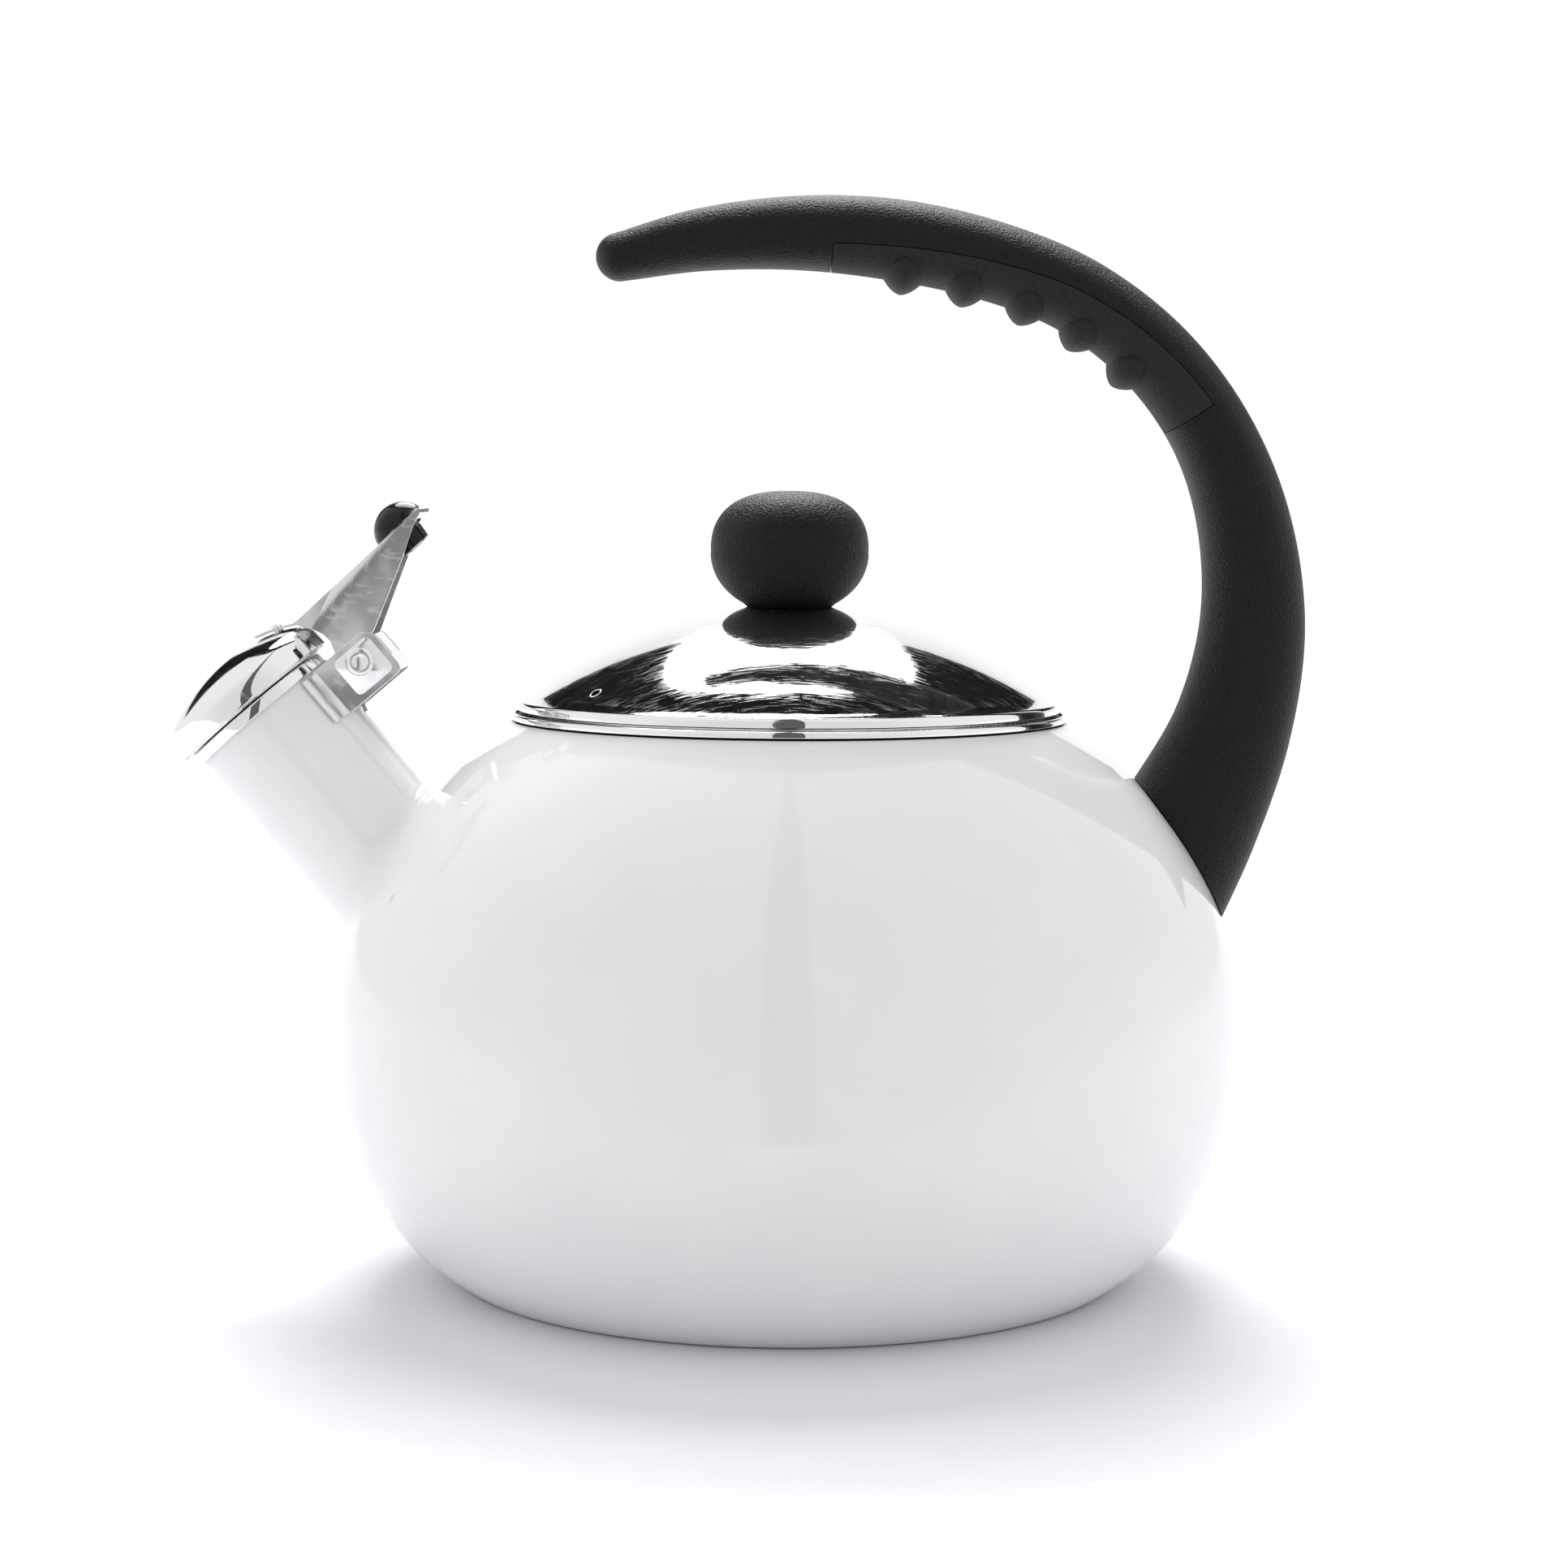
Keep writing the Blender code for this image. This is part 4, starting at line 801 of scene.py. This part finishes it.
TURNED_BRASS = plain_metal("turned_brass", "#b08a45", "#d0ab62", 0.25)
ZINCED_STEEL = plain_metal("bright_zinc_plated_steel", "#b9bbbd", "#d4d6d8", 0.18)
SILICONE = silicone_rubber()
dress(TURNED_BRASS, "knob_insert")
dress(ZINCED_STEEL, "knob_screw")
dress(SILICONE, "knob_washer")

# ============================================================================ spout trim ring
# The same rolled band as the mouth's, pressed over the end of the spout.
SPOUT_BAND = 2.5
SPOUT_BAND_PROUD = 1.0
SPOUT_MOUTH = SPOUT_LENGTH + SEAM + 0.6


def make_spout_ring():
    outer = SPOUT_RADIUS + SPOUT_BAND_PROUD
    inner = SPOUT_RADIUS - SPOUT_WALL - SPOUT_BAND_PROUD
    sheet = SPOUT_BAND_PROUD - SEAM
    top = SPOUT_MOUTH
    section = [
        (outer - sheet, top - SPOUT_BAND),
        (outer, top - SPOUT_BAND),
        (outer, top),
        (inner, top),
        (inner, top - SPOUT_BAND - 1),
        (inner + sheet, top - SPOUT_BAND - 1),
        (inner + sheet, SPOUT_LENGTH + SEAM),
        (outer - sheet, SPOUT_LENGTH + SEAM),
    ]
    make_piece(
        "spout_trim",
        turned(rounded(section, 0.4), 128),
        MIRROR_STEEL,
        "kettle",
        ["spout_trim_ring"],
        SPOUT_PLACE,
    )


make_spout_ring()

# ============================================================================ hinge
# A bent sheet channel stands on the spout with its feet spot-welded on. Each cheek has a raised
# panel, and a riveted pin carries the lever and its torsion spring.
PIVOT_STANDOFF = 7.25
PIVOT = Vector((SPOUT_RADIUS + PIVOT_STANDOFF, 0, SPOUT_LENGTH - 6.5))
PIVOT_PLACE = SPOUT_PLACE @ Matrix.Translation(PIVOT)
PIN_RADIUS = 1.5
PIN_HEAD_RADIUS = 2.95
BRACKET_HALF_WIDTH = 8.75
BRACKET_BACK = 5.95
BRACKET_LENGTH = 11.5
PANEL_MARGIN = 1.25
PANEL_PROUD = 0.13
PANEL_SLOPE = 0.25
SPRING_WIRE = 0.8
SPRING_COIL_RADIUS = 2.45
SPRING_TURNS = 4
SPRING_LENGTH = 6
LEVER_UNDER = 13.95


def softened(name, node, material, body, width):
    """A copy of a CAD piece with its flat faces joined up and its edges broken by a small round."""
    form = bmesh.new()
    form.from_mesh(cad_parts[node].data)
    bmesh.ops.remove_doubles(form, verts=form.verts, dist=2e-6)
    flat = math.radians(1.0)
    bmesh.ops.dissolve_limit(form, angle_limit=flat, verts=form.verts, edges=form.edges)
    form.transform(Matrix.Scale(1 / MM, 4))
    piece = make_piece(name, form, material, body, [node])
    bevel = piece.modifiers.new("edge", "BEVEL")
    bevel.width = width * MM
    bevel.segments = 3
    bevel.limit_method = "ANGLE"
    bevel.angle_limit = math.radians(35)


def make_bracket_panels():
    """The raised panel pressed into each cheek: a copy of its outline, drawn in and proud."""
    top = SPOUT_MOUTH - SPOUT_BAND - SEAM - PANEL_MARGIN
    low = top - BRACKET_LENGTH + 2 * PANEL_MARGIN
    start = SPOUT_RADIUS + 1.1 + PANEL_MARGIN
    back = PIVOT.x + BRACKET_BACK - PANEL_MARGIN
    outline = rounded([(start, low), (back, low), (back, top), (start, top)], 1.6, 6)
    middle = sum((Vector(point) for point in outline), Vector((0, 0))) / len(outline)
    drawn_in = [Vector(p) + (middle - Vector(p)).normalized() * PANEL_SLOPE for p in outline]
    for side, name in ((-1, "bracket_panel_front"), (1, "bracket_panel_rear")):
        form = bmesh.new()
        inside = side * (BRACKET_HALF_WIDTH - 0.05)
        outside = side * (BRACKET_HALF_WIDTH + PANEL_PROUD)
        face_low = [form.verts.new((x, inside, z)) for x, z in outline]
        face_high = [form.verts.new((x, outside, z)) for x, z in drawn_in]
        form.faces.new(face_low)
        form.faces.new(face_high)
        for index in range(len(outline)):
            after = (index + 1) % len(outline)
            form.faces.new((face_low[index], face_low[after], face_high[after], face_high[index]))
        make_piece(
            name, form, SHEET_STEEL, "kettle", place=SPOUT_PLACE, sharp=80
        )


def make_pin():
    """The pin, with a shallow cup struck into each riveted head."""
    half = BRACKET_HALF_WIDTH + SEAM
    head = PIN_HEAD_RADIUS
    cup = [(0, 0.30), (0.34, 0.28), (0.5, 0.5), (0.72, 0.56), (0.93, 0.34), (1, 0.1), (1, 0)]
    cup = [(head * share, half + rise) for share, rise in cup]
    section = [(radius, -height) for radius, height in cup]
    section += [(PIN_RADIUS, -half), (PIN_RADIUS, half)] + cup[::-1]
    place = PIVOT_PLACE @ Matrix.Rotation(math.pi / 2, 4, "X")
    pin = turned(section, 64)
    make_piece("pin", pin, SHEET_STEEL, "kettle", ["hinge_pin"], place)


def make_spring():
    """The spring: its lower leg rests on the spout, and its upper leg reaches up under the lever.
    """
    wire = SPRING_WIRE / 2
    coil = SPRING_COIL_RADIUS
    half = SPRING_LENGTH / 2
    leg_x = wire + SEAM - PIVOT_STANDOFF
    points = [(leg_x, -half, -8.5), (leg_x + 0.6, -half, -6.5)]
    steps = 32
    turns = SPRING_TURNS * steps + steps // 2
    for index in range(turns + 1):
        angle = math.pi - 2 * math.pi * index / steps
        along = -half + SPRING_LENGTH * index / turns
        points.append((coil * math.cos(angle), along, coil * math.sin(angle)))
    points += [(coil + 1.2, half, 4.0), (6.0, half, LEVER_UNDER - 1.5)]
    points.append((7.0, half, LEVER_UNDER - 0.3))

    curve = bpy.data.curves.new("spring_route", "CURVE")
    curve.dimensions = "3D"
    curve.bevel_depth = wire * MM
    curve.bevel_resolution = 3
    curve.use_fill_caps = True
    curve.materials.append(SPRING_STEEL)
    spline = curve.splines.new("POLY")
    spline.points.add(len(points) - 1)
    for spot, point in zip(spline.points, points):
        spot.co = (*(PIVOT_PLACE @ Vector(point) * MM), 1.0)
    route = bpy.data.objects.new("spring_route", curve)
    scene.collection.objects.link(route)
    wound = bpy.data.meshes.new_from_object(route)
    wound.shade_smooth()
    bpy.data.objects.remove(route)
    spring = bpy.data.objects.new("torsion_spring", wound)
    scene.collection.objects.link(spring)
    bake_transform(spring)
    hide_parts("hinge_spring")


SPRING_STEEL = plain_metal("drawn_spring_steel", "#8d8f92", "#aeb0b3", 0.22)
softened("bracket", "hinge_bracket", SHEET_STEEL, "kettle", 0.16)
make_bracket_panels()
make_pin()
make_spring()

# ============================================================================ whistle cap
# The cap is a spun stainless lid for the spout, mirror bright, with a steam hole at its apex. Two
# plates and a spacer inside it make the whistle.
CAP_RADIUS = SPOUT_RADIUS + 3.2
CAP_RIM = SPOUT_MOUTH + 2 * SEAM
CAP_SKIRT = 5.4
CAP_RISE = 11.3
CAP_DOME_RADIUS = 37
CAP_SHEET = 0.8
CAP_VENT_RADIUS = 1.2
CAP_SHOULDER = 15


def soft_corner(start, corner, end, steps):
    """A cubic curve from start to end that leaves and arrives along the lines to a corner."""
    start, corner, end = Vector(start), Vector(corner), Vector(end)
    leave = start.lerp(corner, 0.85)
    arrive = end.lerp(corner, 0.85)
    found = []
    for step in range(steps + 1):
        t = step / steps
        rest = 1 - t
        point = start * rest**3 + leave * 3 * rest**2 * t + arrive * 3 * rest * t**2 + end * t**3
        found.append(tuple(point))
    return found


def cap_dome(radius, sheet=0.0):
    ball = CAP_DOME_RADIUS - sheet
    return CAP_RIM + CAP_RISE - 0.6 - CAP_DOME_RADIUS + math.sqrt(ball**2 - radius**2)


def make_cap():
    outer = CAP_RADIUS
    inner = outer - CAP_SHEET
    skirt = CAP_RIM + CAP_SKIRT
    steps = 24
    top = []
    under = []
    for step in range(steps + 1):
        radius = CAP_VENT_RADIUS + (CAP_SHOULDER - CAP_VENT_RADIUS) * step / steps
        top.append((radius, cap_dome(radius)))
        radius = CAP_VENT_RADIUS + (CAP_SHOULDER - 0.6 - CAP_VENT_RADIUS) * step / steps
        under.append((radius, cap_dome(radius, CAP_SHEET)))
    shoulder = soft_corner(top[-1], (outer, skirt), (outer, CAP_RIM + 0.5), 14)
    foot = [shoulder[-1], (outer, CAP_RIM), (inner, CAP_RIM), (inner, CAP_RIM + 1)]
    foot = rounded(foot, 0.25, 4, closed=False)
    inside = soft_corner(foot[-1], (inner, skirt - 0.7), under[-1], 14)
    section = top[:-1] + shoulder[:-1] + foot[:-1] + inside[:-1] + under[::-1]
    make_piece(
        "cap",
        turned(section, 144),
        MIRROR_STEEL,
        "whistle_cap",
        ["cap_shell"],
        SPOUT_PLACE,
    )


make_cap()
dress(SHEET_STEEL, "whistle_inner_plate", "whistle_outer_plate", "whistle_spacer")

# ============================================================================ thumb lever
# The lever is a folded channel of polished stainless sheet. Its tongue is riveted on the cap, its
# ears turn on the pin, and its tip is curled down so that no edge meets the thumb.
softened("lever", "thumb_lever", SHEET_STEEL, "whistle_cap", 0.14)
dress(SHEET_STEEL, "lever_rivet_front", "lever_rivet_rear")

# ============================================================================ thumb ball
# A ball and its foot of glossy black phenolic clamp the lever between them, held by a pin from
# below. The polish is that of the steel mould.
BALL_RADIUS = 6.15
BALL_SETBACK = 5.8
BALL_SINK = 0.95
BALL_FOOT_RADIUS = 3.65
BALL_FOOT_DROP = 5.2
LEVER_REACH = 29.45
LEVER_SLOPE = math.radians(2.5)
LEVER_SHEET = 0.8
BALL_PIN_HOLE = 1.3


def gloss_phenolic():
    made, tree, shader = new_material("polished_black_phenolic")
    set_shader(shader, {"IOR": 1.55, "Specular IOR Level": 0.25})
    haze = object_noise(tree, 700.0, 3.0)
    tint_by(tree, shader, haze, "#050505", "#0a0a0a")
    roughen_by(tree, shader, haze, 0.10, 0.24)
    return made


GLOSS = gloss_phenolic()


def lever_top(x):
    """Height of the lever's upper face along the spout's axis."""
    return CAP_RIM + 6.8 + (x - CAP_RADIUS + 2.9) * math.tan(LEVER_SLOPE)


def make_ball():
    ball_x = PIVOT.x + LEVER_REACH - BALL_SETBACK
    place = (
        SPOUT_PLACE
        @ Matrix.Translation((ball_x, 0, lever_top(ball_x)))
        @ Matrix.Rotation(-LEVER_SLOPE, 4, "Y")
    )
    hole = BALL_PIN_HOLE
    first = math.asin((SEAM + BALL_SINK) / BALL_RADIUS)
    section = [(0, 3.5), (hole, 3.5), (hole, SEAM)]
    section.append((BALL_RADIUS * math.cos(first) - 0.35, SEAM))
    steps = 28
    for step in range(1, steps):
        angle = first + (math.pi / 2 - first) * step / steps
        section.append((BALL_RADIUS * math.cos(angle), BALL_RADIUS * math.sin(angle) - BALL_SINK))
    section.append((0, BALL_RADIUS - BALL_SINK))
    ball = turned(section, 72)
    make_piece("ball", ball, GLOSS, "whistle_cap", ["thumb_ball"], place)

    top = -LEVER_SHEET - SEAM
    recess_top = -BALL_FOOT_DROP + 1.4
    foot = [
        (hole, top),
        (hole, recess_top),
        (2.3, recess_top),
        (2.3, -BALL_FOOT_DROP),
        (BALL_FOOT_RADIUS - 0.45, -BALL_FOOT_DROP),
        (BALL_FOOT_RADIUS, top - 1.2),
        (BALL_FOOT_RADIUS - 0.1, top),
    ]
    foot = turned(rounded(foot, 0.35, 5), 64)
    make_piece("ball_foot", foot, GLOSS, "whistle_cap", ["thumb_ball_foot"], place)


make_ball()
dress(ZINCED_STEEL, "thumb_ball_pin")

# ============================================================================ handle
# The handle is one heavy moulding of black phenolic that sweeps from the body's shoulder over the
# lid and ends free above the knob. A steel tongue on the body and two screws hold its foot.
FOOT_DROP = 25
# From the free end to the foot: x and z from the foot's corner, thickness and width.
HANDLE_SPINE = [
    (-118.6, 121.0, 10.0, 15.5),
    (-101.1, 124.7, 12.9, 20.5),
    (-81.1, 126.1, 15.2, 24.5),
    (-61.1, 124.7, 16.6, 26.5),
    (-41.1, 120.4, 16.3, 27.5),
    (-23.1, 113.2, 15.9, 27.5),
    (-7.1, 101.0, 16.1, 27.0),
    (4.9, 84.8, 17.0, 26.5),
    (11.9, 65.8, 19.2, 26.0),
    (13.8, 44.8, 21.8, 26.0),
    (9.9, 23.8, 24.6, 27.0),
    (1.4, 4.3, 29.0, 28.0),
    (-9.1, -14.7, 33.0, 29.0),
]
GRIP_START = 44.5
GRIP_LENGTH = 88
GRIP_SEAM_START = -0.33
GRIP_SEAM_END = 0.25
NUB_COUNT = 5
NUB_START = 15.9
NUB_PITCH = 13.8
NUB_HALF_SIZE = (5.1, 12.8, 5.55)
NUB_FULLNESS = (1.6, 3.2, 1.6)
NUB_SINK = 3.0


def smooth_through(points, per_span):
    """Points on a Catmull-Rom curve that passes through the given points."""
    rows = [[2 * a - b for a, b in zip(points[0], points[1])]]
    rows += [list(point) for point in points]
    rows.append([2 * a - b for a, b in zip(points[-1], points[-2])])
    found = []
    for index in range(1, len(rows) - 2):
        spans = list(zip(*rows[index - 1 : index + 3]))
        for step in range(per_span):
            t = step / per_span
            found.append(
                [
                    0.5
                    * (
                        2 * b
                        + (c - a) * t
                        + (2 * a - 5 * b + 4 * c - d) * t**2
                        + (3 * b - a - 3 * c + d) * t**3
                    )
                    for a, b, c, d in spans
                ]
            )
    found.append(rows[-2])
    return found


def handle_stations():
    """Centre, normal, half thickness, half width and running length along the handle."""
    foot_height = MOUTH_HEIGHT - FOOT_DROP
    foot = Vector((flank(foot_height), 0, foot_height))
    rows = smooth_through(HANDLE_SPINE, 12)
    centres = [foot + Vector((x, 0, z)) for x, z, _, _ in rows]
    found = []
    run = 0.0
    for index, (centre, row) in enumerate(zip(centres, rows)):
        before = centres[max(index - 1, 0)]
        after = centres[min(index + 1, len(centres) - 1)]
        along = (after - before).normalized()
        if index:
            run += (centre - centres[index - 1]).length
        found.append((centre, Vector((-along.z, 0, along.x)), row[2] / 2, row[3] / 2, run))
    return found


STATIONS = handle_stations()
HANDLE_SIDES = 64
HANDLE_FULLNESS = 2.35


def section_ring(centre, normal, half_thick, half_wide):
    """The handle's rounded cross-section at one station."""
    power = 2 / HANDLE_FULLNESS
    ring = []
    for side in range(HANDLE_SIDES):
        angle = 2 * math.pi * side / HANDLE_SIDES
        c, s = math.cos(angle), math.sin(angle)
        across = math.copysign(abs(c) ** power, c) * half_wide
        up = math.copysign(abs(s) ** power, s) * half_thick
        ring.append(centre + Vector((0, across, 0)) + normal * up)
    return ring


def station_at(run):
    """The station at a running length, drawn between the two nearest."""
    for low, high in zip(STATIONS, STATIONS[1:]):
        if low[4] <= run <= high[4]:
            share = (run - low[4]) / (high[4] - low[4])
            centre = low[0].lerp(high[0], share)
            normal = low[1].lerp(high[1], share).normalized()
            thick, wide = [low[part] + (high[part] - low[part]) * share for part in (2, 3)]
            return centre, normal, thick, wide, run
    return STATIONS[-1]


def loft(rings):
    """A closed form through rings of points, flat at both ends."""
    form = bmesh.new()
    rows = [[form.verts.new(point) for point in ring] for ring in rings]
    form.faces.new(rows[0])
    form.faces.new(rows[-1][::-1])
    for low, high in zip(rows, rows[1:]):
        for side in range(len(low)):
            after = (side + 1) % len(low)
            form.faces.new((low[side], high[side], high[after], low[after]))
    return form


def handle_form():
    """The whole handle, before it is cut to the body and to the grip."""
    centre, normal, thick, wide, _ = STATIONS[0]
    ahead = (STATIONS[0][0] - STATIONS[1][0]).normalized()
    rings = []
    steps = 12
    for step in range(steps, 0, -1):
        angle = math.radians(88) * step / steps
        shrink = math.cos(angle)
        tip = centre + ahead * thick * math.sin(angle)
        rings.append(section_ring(tip, normal, thick * shrink, wide * shrink))
    rings += [section_ring(*station[:4]) for station in STATIONS]
    return loft(rings)


def grip_space(inset):
    """The space of the soft insert along the underside, drawn in by an inset."""
    first = GRIP_START + inset
    last = GRIP_START + GRIP_LENGTH - inset
    chosen = [station for station in STATIONS if first + 0.8 < station[4] < last - 0.8]
    chosen.insert(0, station_at(first))
    chosen.append(station_at(last))
    rings = []
    for centre, normal, thick, wide, run in chosen:
        share = (run - GRIP_START) / GRIP_LENGTH
        seam = GRIP_SEAM_START + (GRIP_SEAM_END - GRIP_SEAM_START) * share
        top = centre + normal * (seam * thick - inset)
        low = centre - normal * (thick + 4)
        side = Vector((0, wide + 4, 0))
        rings.append([top + side, top - side, low - side, low + side])
    return loft(rings)


# Soft-touch elastomer moulded over the underside: a dead matt rubber with the same spark-eroded
# grain as the phenolic. Its base colour, a shade greyer than the phenolic, is partly the rubber's
# own and partly painted light for the light the underside catches from below.
SOFT_TOUCH = spark_eroded(
    "soft_touch_elastomer",
    {
        "Specular IOR Level": 0.3,
        "Sheen Weight": 0.04,
        "Sheen Roughness": 0.5,
        "Sheen Tint": linear("#b8aba4"),
    },
    2000.0,
    # A greyer base: the rubber's own dark grey with painted light from below added.
    "#161212",
    "#272121",
    0.55,
    0.75,
    0.0003,
)


def make_handle():
    shell = flank_points(BASE_LIP, 84, SEAM)
    section = [(0, 0), (BASE_RADIUS, 0)] + shell + [(0, shell[-1][1])]
    body_space = make_cutter("body_space", turned(section, 192))
    pocket = make_cutter("grip_pocket", grip_space(0.0))
    make_piece(
        "handle",
        handle_form(),
        PHENOLIC,
        "kettle",
        ["handle_body"],
        cutters=[(body_space, "DIFFERENCE"), (pocket, "DIFFERENCE")],
    )
    drop(body_space, pocket)


def nub_point(way):
    """Where a line from a nub's centre leaves it: a superellipsoid, almost a wedge."""
    low, high = 0.0, 2.0
    for _ in range(24):
        scale = (low + high) / 2
        reach = sum(abs(scale * share) ** power for share, power in zip(way, NUB_FULLNESS))
        low, high = (scale, high) if reach < 1 else (low, scale)
    return Vector([low * share * size for share, size in zip(way, NUB_HALF_SIZE)])


def make_grip():
    space = make_cutter("grip_envelope", grip_space(0.18))
    nubs = []
    for index in range(NUB_COUNT):
        centre, normal, thick, _, _ = station_at(GRIP_START + NUB_START + index * NUB_PITCH)
        form = bmesh.new()
        bmesh.ops.create_uvsphere(form, u_segments=48, v_segments=32, radius=1.0)
        for vert in form.verts:
            vert.co = nub_point(vert.co)
        tilt = math.atan2(normal.x, normal.z)
        place = Matrix.Translation(centre - normal * (thick - NUB_SINK))
        place = place @ Matrix.Rotation(tilt, 4, "Y")
        nubs.append(make_cutter("grip_nub", form, place))
    make_piece(
        "grip",
        handle_form(),
        SOFT_TOUCH,
        "kettle",
        ["grip_insert"],
        cutters=[(nub, "UNION") for nub in nubs] + [(space, "INTERSECT")],
    )
    drop(space, *nubs)


make_handle()
make_grip()
dress(ZINCED_STEEL, "handle_tang", "handle_screw_lower", "handle_screw_upper")
